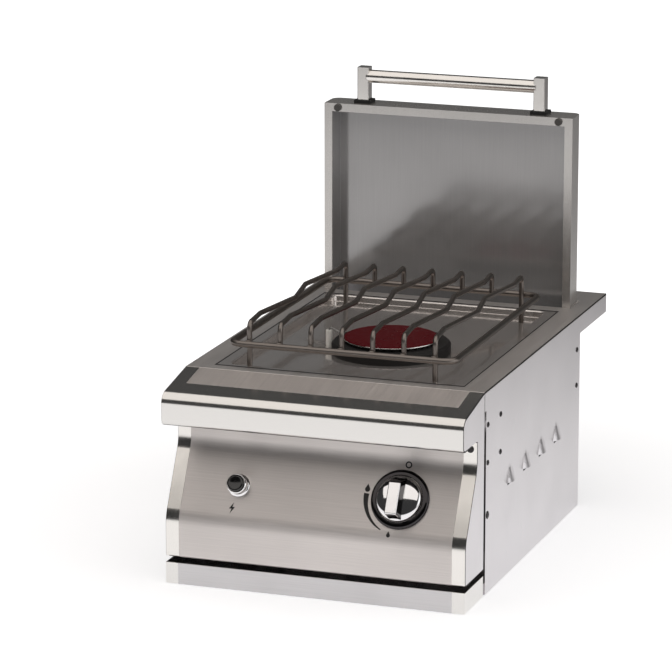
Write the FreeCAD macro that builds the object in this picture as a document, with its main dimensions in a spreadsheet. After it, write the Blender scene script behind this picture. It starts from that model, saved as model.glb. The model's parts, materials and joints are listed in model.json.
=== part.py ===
import FreeCAD, Part
import Sketcher
import math
import os
import re

# Propane side burner: a sheet-steel housing with a flush burner pan, one round burner under a
# lift-out rod grate, a control panel with knob and igniter, and a lift-off lid parked upright in
# a slot of the deck.
# Every piece is drawn with X across the width from the middle, Y back from the front edge of the
# deck and Z up from the deck's top face. The placement then puts the origin of the finished part
# under the middle of the footprint, on the underside of the base.

doc = FreeCAD.newDocument("side_burner")
sheet = doc.addObject("Spreadsheet::Sheet", "Dims")

# Driving dimensions in millimetres, degrees or counts
driving = [
    # housing
    ("width", 356, "overall width of the housing"),
    ("deck_depth", 500, "deck from its front edge to its rear edge"),
    ("front_reach", 77, "nose in front of the deck's front edge"),
    ("housing_height", 238, "underside of the base to the deck's top face"),
    ("deck_ear", 115, "deck behind the rear edge of the side panels"),
    ("gauge", 1.6, "sheet thickness of panels, nose, pan and lid"),
    ("deck_gauge", 2, "sheet thickness of the deck"),
    ("band_height", 23, "height of the deck band that runs on behind the side panels"),
    ("reveal", 7, "dark gap between end plates and side panels"),
    ("seam", 1.6, "gap at the deck band, where the side panels come forward"),
    ("flange", 14, "width of turned-in sheet flanges"),
    ("rear_flange", 24, "flanges of the rear panel, screwed to the side panels"),
    ("hair", 0.3, "clearance between pieces that come apart or drop in"),
    # nose and control panel
    ("nose_fall", 14.5, "fall of the nose's top face from deck edge to front"),
    ("nose_height", 51, "underside of the nose below the deck"),
    ("nose_roll", 13, "radius of the nose's top front edge"),
    ("nose_curl", 8, "radius of the nose's bottom front edge"),
    ("nose_return", 32, "return flange under the nose"),
    ("edge_break", 0.8, "broken rear edge of the nose, at the deck"),
    ("panel_setback", 26, "control panel's upper face in front of the deck edge"),
    ("bend_drop", 81, "bend between upper face and slope below the deck"),
    ("crease_drop", 159, "crease between slope and lip below the deck"),
    ("lip_reach", 67, "lip in front of the deck edge"),
    ("lip_drop", 207, "bottom of the lip below the deck"),
    ("lip_return", 17, "return flange under the lip"),
    ("bend_round", 36, "front radius of the bend under the upper face"),
    ("crease_round", 40, "front radius of the crease"),
    ("lip_round", 4, "front radius of the lip's lower edge"),
    ("trim_width", 16, "polished end strips of the control panel"),
    ("apron_gap", 6, "dark gap between lip and apron"),
    ("apron_reach", 68, "apron in front of the deck edge"),
    # side panels
    ("louvre_first", 101.5, "first louvre behind the deck edge"),
    ("louvre_pitch", 62.4, "louvre spacing"),
    ("louvre_count", 4, "louvres in the right side panel"),
    ("louvre_drop", 129, "mouth of the louvres below the deck"),
    ("louvre_height", 22, "louvre from mouth to tip"),
    ("louvre_width", 28, "width of the louvre's mouth"),
    ("louvre_reach", 5, "louvre out of the panel"),
    ("louvre_slot", 3, "opening below the louvre's mouth"),
    ("bolt_rise", 110, "grill bolts up the left side panel"),
    ("bolt_hole", 7, "grill bolt hole diameter"),
    ("bolt_first", 45, "front grill bolts behind the deck edge"),
    ("bolt_last", 40, "rear grill bolts in front of the panel's rear edge"),
    ("bolt_drop", 70, "upper grill bolts below the deck"),
    ("screw_head", 6.4, "side panel screw head diameter"),
    ("screw_shank", 4, "side panel screw shank diameter"),
    ("screw_length", 7, "side panel screw shank length"),
    ("head_height", 1.2, "screw head height"),
    ("screw_front", 14, "front screws behind the deck edge"),
    ("screw_second", 62, "second screws behind the deck edge"),
    ("screw_inset", 13, "rear screws in front of the panel's rear edge"),
    ("screw_high", 40.5, "upper screws below the deck"),
    ("screw_low", 84.5, "lower screws below the deck"),
    ("screw_big_drop", 145.5, "large front screw below the deck"),
    ("screw_big_head", 9, "large front screw head diameter"),
    ("strip_screw_drop", 59, "screws of the polished strips below the deck"),
    ("strip_screw_head", 8.5, "head diameter of these screws"),
    ("strip_screw_length", 6, "shank length of these screws"),
    ("tab_width", 13, "turned-in tab of an end plate, behind its strip"),
    ("tab_height", 15, "height of that tab"),
    # base
    ("base_flange", 12, "upturned edges of the base tray"),
    ("vent_length", 150, "air slots in the base"),
    ("vent_width", 10, "width of an air slot"),
    ("vent_pitch", 40, "spacing of the air slots"),
    ("vent_count", 5, "air slots in the base"),
    ("vent_first", 70, "first air slot behind the deck edge"),
    # burner pan
    ("pan_width", 296, "pan rim across"),
    ("pan_front", 18.5, "front of the pan rim"),
    ("pan_gap", 24, "pan rim in front of the lid"),
    ("rim_width", 14.5, "pan rim beside the recess"),
    ("pan_seam", 0.8, "gap around the pan rim"),
    ("front_ledge", 8.5, "pan rim in front of the recess"),
    ("rear_ledge", 4, "pan rim behind the recess"),
    ("recess_depth", 8, "recess below the deck"),
    ("recess_round", 7, "corner radius of the recess"),
    ("dish_radius", 124, "outer radius of the dished floor"),
    ("dish_depth", 9, "fall of the dished floor"),
    # burner
    ("burner_diameter", 140, "burner head across its base"),
    ("burner_height", 13, "burner head above the dished floor"),
    ("crown_diameter", 108, "port ring of the burner head"),
    ("crown_wall", 8, "thickness of the port ring"),
    ("port_count", 36, "gas ports"),
    ("port_width", 3, "width of a gas port"),
    ("port_height", 2.2, "height of a gas port"),
    ("cap_diameter", 112, "burner cap across"),
    ("cap_thickness", 3, "burner cap at its edge"),
    ("cap_crown", 1, "rise of the cap's middle"),
    ("cap_skirt", 5, "locating skirt under the cap"),
    ("throat_radius", 14, "gas way up into the burner"),
    ("spigot_wall", 3, "wall of the burner's spigot"),
    ("spigot_length", 12, "burner's spigot below the pan"),
    ("mixer_radius", 13, "bore of the mixing tube"),
    ("mixer_wall", 3, "wall of the mixing tube"),
    ("mixer_drop", 60, "mixing tube below the deck"),
    ("mixer_length", 108, "mixing tube from the burner's middle to its mouth"),
    ("mixer_bend", 24, "bend of the mixing tube"),
    ("collar_wall", 4, "wall of the collar that takes the burner's spigot"),
    ("collar_flange", 34, "radius of the flange under the pan"),
    ("flange_gauge", 3, "thickness of the flange under the pan"),
    ("shutter_length", 18, "air shutter"),
    ("shutter_wall", 1.5, "wall of the air shutter"),
    ("shutter_slot", 9, "air slots in the shutter"),
    ("injector_length", 26, "injector from its seat to its tip"),
    ("injector_radius", 5, "injector's nose"),
    ("injector_hex", 14, "injector across flats"),
    ("jet_radius", 0.8, "gas jet"),
    ("electrode_x", 77, "spark electrode left of the burner's middle"),
    ("ceramic_diameter", 8, "electrode ceramic"),
    ("ceramic_top", 3, "electrode ceramic above the deck"),
    ("ceramic_length", 44, "electrode ceramic"),
    ("wire_diameter", 2, "electrode wire"),
    ("bracket_width", 14, "electrode bracket"),
    # grate
    ("ring_inset", 5.5, "ring's front bar behind the front of the pan"),
    ("ring_gap", 27, "ring's rear bar in front of the rear of the pan"),
    ("ring_height", 25, "middle of the ring above the deck"),
    ("ring_rod", 7.5, "ring bar diameter"),
    ("ring_bend", 14, "bend at the ring's corners"),
    ("rod_count", 7, "cooking rods"),
    ("rod_inset", 22.5, "outer rods from the ring's side bars"),
    ("rod_diameter", 6, "cooking rod"),
    ("rod_top", 51.5, "top of the rods above the deck"),
    ("rod_wave", 6, "sideways wave of the rods"),
    ("rod_bend", 8, "bend at the rods' kinks"),
    ("wave_first", 124, "first kink in front of the burner's middle"),
    ("wave_second", 38, "second kink in front of the burner's middle"),
    ("wave_third", 29, "third kink behind the burner's middle"),
    ("wave_fourth", 107, "fourth kink behind the burner's middle"),
    # gas train
    ("knob_inset", 83, "knob from the right side"),
    ("valve_slide", 43, "knob below the bend, along the slope"),
    ("bonnet_radius", 13, "valve bonnet"),
    ("bonnet_length", 12, "valve bonnet behind the panel"),
    ("valve_block", 30, "valve body across"),
    ("valve_length", 26, "valve body behind the bonnet"),
    ("plug_radius", 8, "valve plug at its wide end"),
    ("plug_taper", 2, "taper of the valve plug"),
    ("stem_diameter", 8, "valve stem"),
    ("manifold_radius", 10, "manifold pipe"),
    ("manifold_left", 55, "manifold's inlet end left of the valve"),
    ("manifold_right", 37, "manifold's closed end right of the valve"),
    ("supply_radius", 6.4, "supply pipe"),
    ("supply_inset", 58, "supply pipe from the left side"),
    ("supply_drop", 205, "supply pipe below the deck"),
    ("supply_bend", 25, "bends of the supply pipe"),
    ("feed_radius", 4, "feed tube to the injector"),
    ("pipe_wall", 1.2, "wall of the gas pipes"),
    ("feed_bend", 14, "bends of the feed tube"),
    ("inlet_radius", 8, "gas inlet thread"),
    ("inlet_length", 26, "gas inlet behind the rear panel"),
    ("inlet_hex", 24, "gas inlet across flats"),
    ("inlet_collar_height", 9, "hexagon of the gas inlet inside the rear panel"),
    ("inlet_nut_height", 7, "nut on the gas inlet"),
    ("inlet_tail", 15, "free end of the gas inlet"),
    ("inlet_groove", 3, "relief groove in front of the free end"),
    ("groove_radius", 7, "floor of the relief groove"),
    # knob and igniter
    ("bezel_radius", 34, "knob bezel"),
    ("bezel_height", 4, "knob bezel above the panel"),
    ("knob_radius", 26, "knob skirt"),
    ("knob_gap", 4.5, "knob above the panel"),
    ("knob_dome", 15, "top of the knob's dome above the panel"),
    ("grip_height", 30, "top of the knob's grip above the panel"),
    ("grip_width", 13, "width of the knob's grip"),
    ("push_travel", 3, "knob push"),
    ("igniter_inset", 81.5, "igniter from the left side"),
    ("igniter_slide", 45, "igniter below the bend, along the slope"),
    ("collar_radius", 11.5, "igniter collar"),
    ("collar_height", 10.5, "igniter collar above the panel"),
    ("button_radius", 10, "igniter button"),
    ("button_height", 14.5, "igniter button above the panel"),
    ("button_travel", 4, "igniter push"),
    ("igniter_radius", 9, "igniter body behind the panel"),
    ("igniter_depth", 34, "igniter body behind the panel"),
    # lid
    ("lid_width", 314, "lid across"),
    ("lid_margin", 51, "deck behind the parked lid"),
    ("lid_thickness", 37, "lid from open face to back"),
    ("lid_rise", 232, "lid above the deck"),
    ("lid_sunk", 157, "lid below the deck, in its slot"),
    ("lid_round", 10, "rounded back edges of the lid"),
    ("lid_rim", 10, "rim around the lid's open face"),
    ("liner_depth", 30, "liner behind the lid's open face"),
    ("slot_gap", 1, "clearance of the lid in its slot"),
    ("post_span", 223, "handle posts, middle to middle"),
    ("post_width", 14.5, "handle post across"),
    ("post_depth", 15, "handle post front to back"),
    ("post_height", 40, "handle post above its gasket"),
    ("post_round", 1.5, "rounded corners of the handle posts"),
    ("gasket_height", 4, "handle gasket"),
    ("gasket_margin", 3, "gasket around the post"),
    ("tube_diameter", 16, "handle tube"),
    ("tube_drop", 11.5, "handle tube's middle below the post's top"),
    ("tube_seat", 3, "handle tube into each post"),
    ("bumper_span", 279, "lid bumpers, middle to middle"),
    ("bumper_diameter", 9, "lid bumper"),
    ("bumper_height", 3, "lid bumper"),
    ("rest_span", 200, "lid rests, middle to middle"),
    ("rest_width", 30, "lid rest across"),
    ("rest_plate", 40, "lid rest up the rear panel"),
    ("rest_lip", 12, "upturned end of the lid rest"),
]
# Places that follow from them, behind the deck's front edge or from the middle
following = [
    ("housing_depth", "deck_depth - deck_ear", "rear edge of the side panels"),
    ("lid_front", "deck_depth - lid_margin - lid_thickness", "lid's open face"),
    ("pan_rear", "lid_front - pan_gap", "rear of the pan rim"),
    ("recess_width", "pan_width - 2 * rim_width", "recess across"),
    ("ring_width", "recess_width", "grate ring, middle of the side bars"),
    ("rod_pitch", "(ring_width - 2 * rod_inset) / (rod_count - 1)", "spacing of the rods"),
    ("recess_front", "pan_front + front_ledge", "front of the recess"),
    ("recess_rear", "pan_rear - rear_ledge", "rear of the recess"),
    ("burner_y", "(pan_front + pan_rear) / 2", "burner's middle"),
    ("ring_front", "pan_front + ring_inset", "middle of the ring's front bar"),
    ("ring_rear", "pan_rear - ring_gap", "middle of the ring's rear bar"),
    ("screw_rear", "housing_depth - screw_inset", "rear screws"),
    ("bolt_span", "housing_depth - bolt_first - bolt_last", "grill bolts along the panel"),
    ("valve_x", "width / 2 - knob_inset", "knob right of the middle"),
    ("igniter_x", "width / 2 - igniter_inset", "igniter left of the middle"),
    ("supply_x", "width / 2 - supply_inset", "supply pipe left of the middle"),
]
for row, (alias, size, note) in enumerate(driving + following, 1):
    sheet.set(f"A{row}", note)
    sheet.set(f"B{row}", str(size) if row <= len(driving) else f"={size}")
    sheet.setAlias(f"B{row}", alias)
doc.recompute()

# Working tools: expressions over the sheet, primitives, sketches and bent rods
aliases = {alias for alias, size, note in driving + following}
nodes = []


def full(expression):
    return re.sub(r"[a-z][a-z_]*", lambda m: "Dims." + m[0] if m[0] in aliases else m[0], str(expression))


def number(expression):
    found = sheet.evalExpression(full(expression))
    return float(getattr(found, "Value", found))


def bind(thing, prop, expression):
    thing.setExpression(prop, full(expression))


def move(thing, x, y, z):
    for axis, expression in zip("xyz", (x, y, z)):
        bind(thing, f"Placement.Base.{axis}", expression)
    return thing


def turn(thing, axis, angle):
    thing.Placement.Rotation = FreeCAD.Rotation(FreeCAD.Vector(*axis), angle)
    return thing


def box(name, x, y, z):
    block = doc.addObject("Part::Box", name)
    for prop, (low, high) in zip(("Length", "Width", "Height"), (x, y, z)):
        bind(block, prop, f"({high}) - ({low})")
    return move(block, x[0], y[0], z[0])


def cylinder(name, direction, centre, radius, length):
    round_bar = doc.addObject("Part::Cylinder", name)
    bind(round_bar, "Radius", radius)
    bind(round_bar, "Height", length)
    if direction == "x":
        turn(round_bar, (0, 1, 0), 90)
    if direction == "y":
        turn(round_bar, (1, 0, 0), -90)
    return move(round_bar, *centre)


def hexagon(name, direction, centre, across_flats, length):
    nut = doc.addObject("Part::Prism", name)
    nut.Polygon = 6
    bind(nut, "Circumradius", f"({across_flats}) / sqrt(3)")
    bind(nut, "Height", length)
    if direction == "y":
        turn(nut, (1, 0, 0), -90)
    return move(nut, *centre)


def group(name, pieces):
    bundle = doc.addObject("Part::Compound", name)
    bundle.Links = pieces
    return bundle


def cut(name, base, *tools):
    result = doc.addObject("Part::Cut", name)
    result.Base = base
    result.Tool = tools[0] if len(tools) == 1 else group(name + "Tools", list(tools))
    result.Refine = True
    return result


def fuse(name, *pieces):
    result = doc.addObject("Part::MultiFuse", name)
    result.Shapes = list(pieces)
    result.Refine = True
    return result


def common(name, first, second):
    result = doc.addObject("Part::Common", name)
    result.Base = first
    result.Tool = second
    return result


def sketch_loop(body, plane, loop, offset):
    sketch = body.newObject("Sketcher::SketchObject", body.Name + "Sketch")
    support = [feature for feature in body.Origin.OriginFeatures if feature.Role == plane][0]
    sketch.AttachmentSupport = (support, [""])
    sketch.MapMode = "FlatFace"
    bind(sketch, "AttachmentOffset.Base.z", offset)
    corners = [FreeCAD.Vector(number(corner[0]), number(corner[1]), 0) for corner in loop]
    for index, corner in enumerate(corners):
        sketch.addGeometry(Part.LineSegment(corner, corners[(index + 1) % len(corners)]))
    for index in range(len(corners)):
        following = (index + 1) % len(corners)
        sketch.addConstraint(Sketcher.Constraint("Coincident", index, 2, following, 1))
    for index, corner in enumerate(loop):
        for kind, letter, expression in zip(("DistanceX", "DistanceY"), "uv", corner):
            placed = Sketcher.Constraint(kind, -1, 1, index, 1, number(expression))
            sketch.renameConstraint(sketch.addConstraint(placed), f"{letter}{index}")
            bind(sketch, f"Constraints.{letter}{index}", expression)
    return sketch


def pad(name, plane, loop, low, high):
    body = doc.addObject("PartDesign::Body", name)
    offset = f"-({high})" if plane == "XZ_Plane" else low
    sketch = sketch_loop(body, plane, loop, offset)
    solid = body.newObject("PartDesign::Pad", name + "Pad")
    solid.Profile = sketch
    bind(solid, "Length", f"({high}) - ({low})")
    doc.recompute()
    for u, v, radius in [corner for corner in loop if len(corner) == 3]:
        tip = body.Tip
        spot = sketch.Placement.multVec(FreeCAD.Vector(number(u), number(v), 0))
        direction = sketch.Placement.Rotation.multVec(FreeCAD.Vector(0, 0, 1))
        fillet = body.newObject("PartDesign::Fillet", name + "Round")
        fillet.Base = (tip, [edge_through(tip.Shape, spot, direction)])
        bind(fillet, "Radius", radius)
        doc.recompute()
    return body


def edge_through(shape, spot, direction):
    for index, edge in enumerate(shape.Edges, 1):
        ends = [vertex.Point for vertex in edge.Vertexes]
        touching = len(ends) == 2 and min((end - spot).Length for end in ends) < 1e-6
        if touching and abs((ends[1] - ends[0]).normalize().dot(direction)) > 0.999:
            return f"Edge{index}"
    raise ValueError("no edge at the corner to be rounded")


def turned(name, loop):
    body = doc.addObject("PartDesign::Body", name)
    sketch = sketch_loop(body, "XZ_Plane", loop, "0")
    solid = body.newObject("PartDesign::Revolution", name + "Turn")
    solid.Profile = sketch
    solid.ReferenceAxis = (sketch, ["V_Axis"])
    solid.Angle = 360
    return body


def bent_path(points, bend):
    spots = [FreeCAD.Vector(*[number(part) for part in point]) for point in points]
    edges = []
    start = spots[0]
    for before, here, after in zip(spots, spots[1:], spots[2:]):
        toward = (before - here).normalize()
        onward = (after - here).normalize()
        half = toward.getAngle(onward) / 2
        reach = bend / math.tan(half)
        first = here + toward * reach
        last = here + onward * reach
        inward = (toward + onward).normalize()
        middle = here + inward * (bend / math.sin(half) - bend)
        edges.append(Part.LineSegment(start, first).toShape())
        edges.append(Part.Arc(first, middle, last).toShape())
        start = last
    edges.append(Part.LineSegment(start, spots[-1]).toShape())
    return Part.Wire(edges)


def bent_rod(name, points, radius, bend):
    path = bent_path(points, number(bend))
    start = path.Edges[0].valueAt(path.Edges[0].FirstParameter)
    heading = path.Edges[0].tangentAt(path.Edges[0].FirstParameter)
    section = Part.Wire(Part.makeCircle(number(radius), start, heading))
    rod = doc.addObject("Part::Feature", name)
    rod.Shape = path.makePipeShell([section], True, True)
    return rod


def bent_tube(name, points, radius, wall, bend):
    outer = bent_rod(name + "Outer", points, radius, bend)
    return cut(name, outer, bent_rod(name + "Bore", points, f"{radius} - {wall}", bend))


def node(label, piece, x="0", y="0", z="0"):
    piece.Label = label
    move(piece, x, f"{deck_edge} + {y}", f"housing_height + {z}")
    nodes.append(piece)


# Places worked out from the driving dimensions
deck_edge = "(front_reach - deck_depth) / 2"
half = "width / 2"
inside = "(width / 2 - gauge)"
base_top = "(gauge - housing_height)"
slope_run = "(lip_reach - panel_setback)"
slope_fall = "(crease_drop - bend_drop)"
slope_length = f"sqrt({slope_run}^2 + {slope_fall}^2)"
slope_tilt = f"atan2({slope_fall}; {slope_run})"
apron_top = "(-lip_drop - apron_gap)"
pan_floor = "(-recess_depth - dish_depth)"
pan_under = f"({pan_floor} - gauge)"
lid_back = "(lid_front + lid_thickness)"
lid_middle = "(lid_front + lid_thickness / 2)"
rear_face = "housing_depth"
rear_inner = "(housing_depth - gauge)"


def on_slope(label, piece, x, slide):
    turn(piece, (1, 0, 0), number(slope_tilt))
    bind(piece, "Placement.Rotation.Angle", slope_tilt)
    node(label, piece, x, slope_y(slide), slope_z(slide))


def slope_y(slide, out="0"):
    down = f"({slide}) * {slope_run} / {slope_length}"
    return f"(-panel_setback - {down} - ({out}) * {slope_fall} / {slope_length})"


def slope_z(slide, out="0"):
    down = f"({slide}) * {slope_fall} / {slope_length}"
    return f"(-bend_drop - {down} + ({out}) * {slope_run} / {slope_length})"


# Side panels: an L-shaped sheet whose upper band runs on under the rear of the deck
def side_panel(name, side, extra_pieces, extra_cuts):
    outer = half if side > 0 else f"-{half}"
    inner = inside if side > 0 else f"-{inside}"
    low, high = (inner, outer) if side > 0 else (outer, inner)
    outline = [
        ("seam", "-deck_gauge"),
        ("seam", "-band_height"),
        ("reveal", "-band_height"),
        ("reveal", "-housing_height"),
        (rear_face, "-housing_height"),
        (rear_face, "-band_height"),
        ("deck_depth", "-band_height"),
        ("deck_depth", "-deck_gauge"),
    ]
    sheet_metal = pad(name + "Sheet", "YZ_Plane", outline, low, high)
    edge = (f"{inside} - flange", inside) if side > 0 else (f"-{inside}", f"-{inside} + flange")
    turned_in = box(name + "Flange", edge, ("reveal", "reveal + gauge"),
                    (f"{base_top} + base_flange + hair", "-band_height"))
    return cut(name + "Panel", fuse(name + "Body", sheet_metal, turned_in, *extra_pieces), *extra_cuts)


# Louvre hood: part of a cone pressed out of the panel, open at its lower edge
louvre_radius = "((louvre_width^2 / 4 + louvre_reach^2) / (2 * louvre_reach))"
louvre_sink = f"({louvre_radius} - louvre_reach)"


def louvre(index):
    centre = (f"{half} - {louvre_sink}", f"louvre_first + {index} * louvre_pitch", "-louvre_drop")
    outer = doc.addObject("Part::Cone", f"LouvreSkin{index}")
    hollow = doc.addObject("Part::Cone", f"LouvreHollow{index}")
    for cone, wall in ((outer, "0"), (hollow, "gauge")):
        bind(cone, "Radius1", f"{louvre_radius} - {wall}")
        bind(cone, "Radius2", f"{louvre_sink} - {wall}")
        bind(cone, "Height", "louvre_height")
        move(cone, *centre)
    along = f"louvre_first + {index} * louvre_pitch"
    window = box(f"LouvreWindow{index}", (inside, f"{half} + louvre_reach"),
                 (f"{along} - louvre_width", f"{along} + louvre_width"), ("-louvre_drop", "0"))
    slot = box(f"LouvreSlot{index}", (f"{inside} - gauge", f"{half} + gauge"),
               (f"{along} - louvre_width * 0.4", f"{along} + louvre_width * 0.4"),
               ("-louvre_drop - louvre_slot", "-louvre_drop"))
    return common(f"LouvreHood{index}", outer, window), hollow, slot


hoods = [louvre(index) for index in range(int(number("louvre_count")))]

# Screws: places along the panel and below the deck, and head diameters
screw_places = [
    ("screw_front", "screw_high", "screw_head"),
    ("screw_front", "screw_low", "screw_head"),
    ("screw_front", "screw_big_drop", "screw_big_head"),
    ("screw_second", "screw_high", "screw_head"),
    ("screw_second", "screw_low", "screw_head"),
    ("screw_rear", "screw_high", "screw_head"),
    ("screw_rear", "screw_low", "screw_head"),
]


def screw(name, side, along, drop, head):
    start = half if side > 0 else f"-{half} - head_height"
    shank_start = f"{half} - screw_length" if side > 0 else f"-{half}"
    cap = cylinder(name + "Head", "x", (start, along, f"-{drop}"), f"{head} / 2", "head_height")
    shank = cylinder(name + "Shank", "x", (shank_start, along, f"-{drop}"), "screw_shank / 2",
                     "screw_length")
    return fuse(name, cap, shank)


def screw_hole(name, side, along, drop):
    start = f"{half} - 2 * screw_length" if side > 0 else f"-{half} - screw_length"
    return cylinder(name, "x", (start, along, f"-{drop}"), "screw_shank / 2 + hair / 2",
                    "3 * screw_length")


panel_screws = []
panel_holes = {1: [], -1: []}
for side, tag in ((1, "Right"), (-1, "Left")):
    for index, (along, drop, head) in enumerate(screw_places):
        panel_screws.append(screw(f"{tag}Screw{index}", side, along, drop, head))
        panel_holes[side].append(screw_hole(f"{tag}Hole{index}", side, along, drop))

grill_holes = []
for index in range(4):
    along = f"bolt_first + {index % 2} * bolt_span"
    drop = f"-bolt_drop - {index // 2} * bolt_rise"
    start = (f"-{half} - gauge", along, drop)
    grill_holes.append(cylinder(f"GrillHole{index}", "x", start, "bolt_hole / 2", "3 * gauge"))

louvre_cuts = [tool for hood, *tools in hoods for tool in tools]
node("right_side_panel", side_panel("Right", 1, [hood for hood, *tools in hoods],
                                    louvre_cuts + panel_holes[1]))
node("left_side_panel", side_panel("Left", -1, [], grill_holes + panel_holes[-1]))
node("side_panel_screws", group("SideScrews", panel_screws))

# Rear panel: a channel between the side panels, with a hole for the gas inlet
rear_loop = [
    (f"-{inside}", f"{rear_face} - rear_flange"),
    (f"-{inside}", rear_face),
    (inside, rear_face),
    (inside, f"{rear_face} - rear_flange"),
    (f"{inside} - gauge", f"{rear_face} - rear_flange"),
    (f"{inside} - gauge", rear_inner),
    (f"-{inside} + gauge", rear_inner),
    (f"-{inside} + gauge", f"{rear_face} - rear_flange"),
]
rear_sheet = pad("RearSheet", "XY_Plane", rear_loop, base_top, "-recess_depth - 2 * gauge - hair")
inlet_hole = cylinder("InletHole", "y", ("-supply_x", f"{rear_inner} - gauge", "-supply_drop"),
                      "inlet_radius + hair", "3 * gauge")
rear_holes = []
for side, tag in ((1, "Right"), (-1, "Left")):
    for drop in ("screw_high", "screw_low"):
        rear_holes.append(screw_hole(f"Rear{tag}{drop}", side, "screw_rear", drop))
node("rear_panel", cut("RearPanel", rear_sheet, inlet_hole, *rear_holes))

# Base tray: closes the bottom and stiffens the side panels and the apron
base_front = "(gauge - apron_reach)"
base_floor = box("BaseFloor", (f"-{inside}", inside), (base_front, rear_face),
                 ("-housing_height", base_top))
base_edges = []
edge_y = (base_front, f"{rear_face} - rear_flange - gauge")
edge_z = ("-housing_height", f"{base_top} + base_flange")
left_edge = (f"-{inside}", f"-{inside} + gauge")
right_edge = (f"{inside} - gauge", inside)
for tag, across in (("Left", left_edge), ("Right", right_edge)):
    base_edges.append(box(f"BaseEdge{tag}", across, edge_y, edge_z))
vents = []
for index in range(int(number("vent_count"))):
    along = f"vent_first + {index} * vent_pitch"
    vents.append(box(f"Vent{index}", ("-vent_length / 2", "vent_length / 2"),
                     (along, f"{along} + vent_width"),
                     ("-housing_height - gauge", f"{base_top} + gauge")))
node("base_tray", cut("BaseTray", fuse("BaseBody", base_floor, *base_edges), *vents))

# Front apron: the low band around the front of the base
apron_z = ("-housing_height", apron_top)
apron_front = box("ApronFront", (f"-{half}", half), ("-apron_reach", base_front), apron_z)
apron_sides = []
for tag, across in (("Left", (f"-{half}", f"-{inside}")), ("Right", (inside, half))):
    apron_sides.append(box(f"Apron{tag}", across, (base_front, "0"), apron_z))
node("front_apron", fuse("Apron", apron_front, *apron_sides))

# Top deck: flat sheet with a joggled opening for the pan, a slot for the lid and a rear edge
deck_sheet = box("DeckSheet", (f"-{half}", half), ("0", "deck_depth"), ("-deck_gauge", "0"))
deck_rear = box("DeckRear", (f"-{inside}", inside), ("deck_depth - gauge", "deck_depth"),
                ("-band_height", "0"))
ledge_margin = "(gauge + 1)"
ledge_outer = box("LedgeOuter", ("-pan_width / 2 - deck_gauge", "pan_width / 2 + deck_gauge"),
                  ("pan_front - deck_gauge", "pan_rear + deck_gauge"), ("-2 * deck_gauge", "-deck_gauge"))
pan_opening = box("PanOpening", ("-pan_width / 2 - pan_seam", "pan_width / 2 + pan_seam"),
                  ("pan_front - pan_seam", "pan_rear + pan_seam"), ("-deck_gauge", "deck_gauge"))
tub_opening = box("TubOpening",
                  (f"-recess_width / 2 - {ledge_margin}", f"recess_width / 2 + {ledge_margin}"),
                  (f"recess_front - {ledge_margin}", f"recess_rear + {ledge_margin}"),
                  ("-3 * deck_gauge", "deck_gauge"))
lid_slot = box("LidSlot", ("-lid_width / 2 - slot_gap", "lid_width / 2 + slot_gap"),
               ("lid_front - slot_gap", f"{lid_back} + slot_gap"), ("-2 * deck_gauge", "deck_gauge"))
node("top_deck", cut("TopDeck", cut("DeckOpen", fuse("DeckBody", deck_sheet, deck_rear, ledge_outer),
                                    pan_opening, lid_slot), tub_opening))


# Burner pan: flush rim, shallow recess and a floor dished down to the burner
def recess_loop(grow):
    side = f"(recess_width / 2 + {grow})"
    radius = f"recess_round + {grow}"
    return [
        (f"-{side}", f"recess_front - {grow}", radius),
        (side, f"recess_front - {grow}", radius),
        (side, f"recess_rear + {grow}", radius),
        (f"-{side}", f"recess_rear + {grow}", radius),
    ]


def dish(name, drop):
    bowl = doc.addObject("Part::Cone", name)
    bind(bowl, "Radius1", "burner_diameter / 2 + 4")
    bind(bowl, "Radius2", "dish_radius")
    bind(bowl, "Height", "dish_depth")
    return move(bowl, "0", "burner_y", f"{pan_floor} - {drop}")


pan_rim = box("PanRim", ("-pan_width / 2", "pan_width / 2"), ("pan_front", "pan_rear"),
              ("-deck_gauge", "0"))
tub = pad("PanTub", "XY_Plane", recess_loop("gauge"), "-recess_depth - gauge", "-deck_gauge")
tub_hollow = pad("PanHollow", "XY_Plane", recess_loop("0"), "-recess_depth", "deck_gauge")
throat = cylinder("PanThroat", "z", ("0", "burner_y", f"{pan_under} - gauge"),
                  "throat_radius + spigot_wall + hair", "4 * gauge")
spark_hole = cylinder("SparkHole", "z", ("-electrode_x", "burner_y", f"{pan_under} - gauge"),
                      "ceramic_diameter / 2 + 1", "dish_depth + 4 * gauge")
pan_body = fuse("PanBody", pan_rim, tub, dish("DishOuter", "gauge"))
pan_open = cut("PanOpen", cut("PanEmptied", pan_body, tub_hollow), dish("DishInner", "0"))
node("burner_pan", cut("BurnerPan", pan_open, throat, spark_hole))

# Front nose: one bent sheet, sloping top, rolled front edge and a curled return underneath
nose_inner_fall = "(nose_fall * (front_reach - gauge) / front_reach + gauge)"
nose_loop = [
    ("0", "-edge_break"),
    ("-edge_break", "-edge_break * nose_fall / front_reach"),
    ("-front_reach", "-nose_fall", "nose_roll"),
    ("-front_reach", "-nose_height", "nose_curl"),
    ("nose_return - front_reach", "-nose_height"),
    ("nose_return - front_reach", "gauge - nose_height"),
    ("gauge - front_reach", "gauge - nose_height", "nose_curl - gauge"),
    ("gauge - front_reach", f"-{nose_inner_fall}", "nose_roll - gauge"),
    ("0", "-gauge"),
]
node("front_nose", pad("FrontNose", "YZ_Plane", nose_loop, f"-{half}", half))

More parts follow.
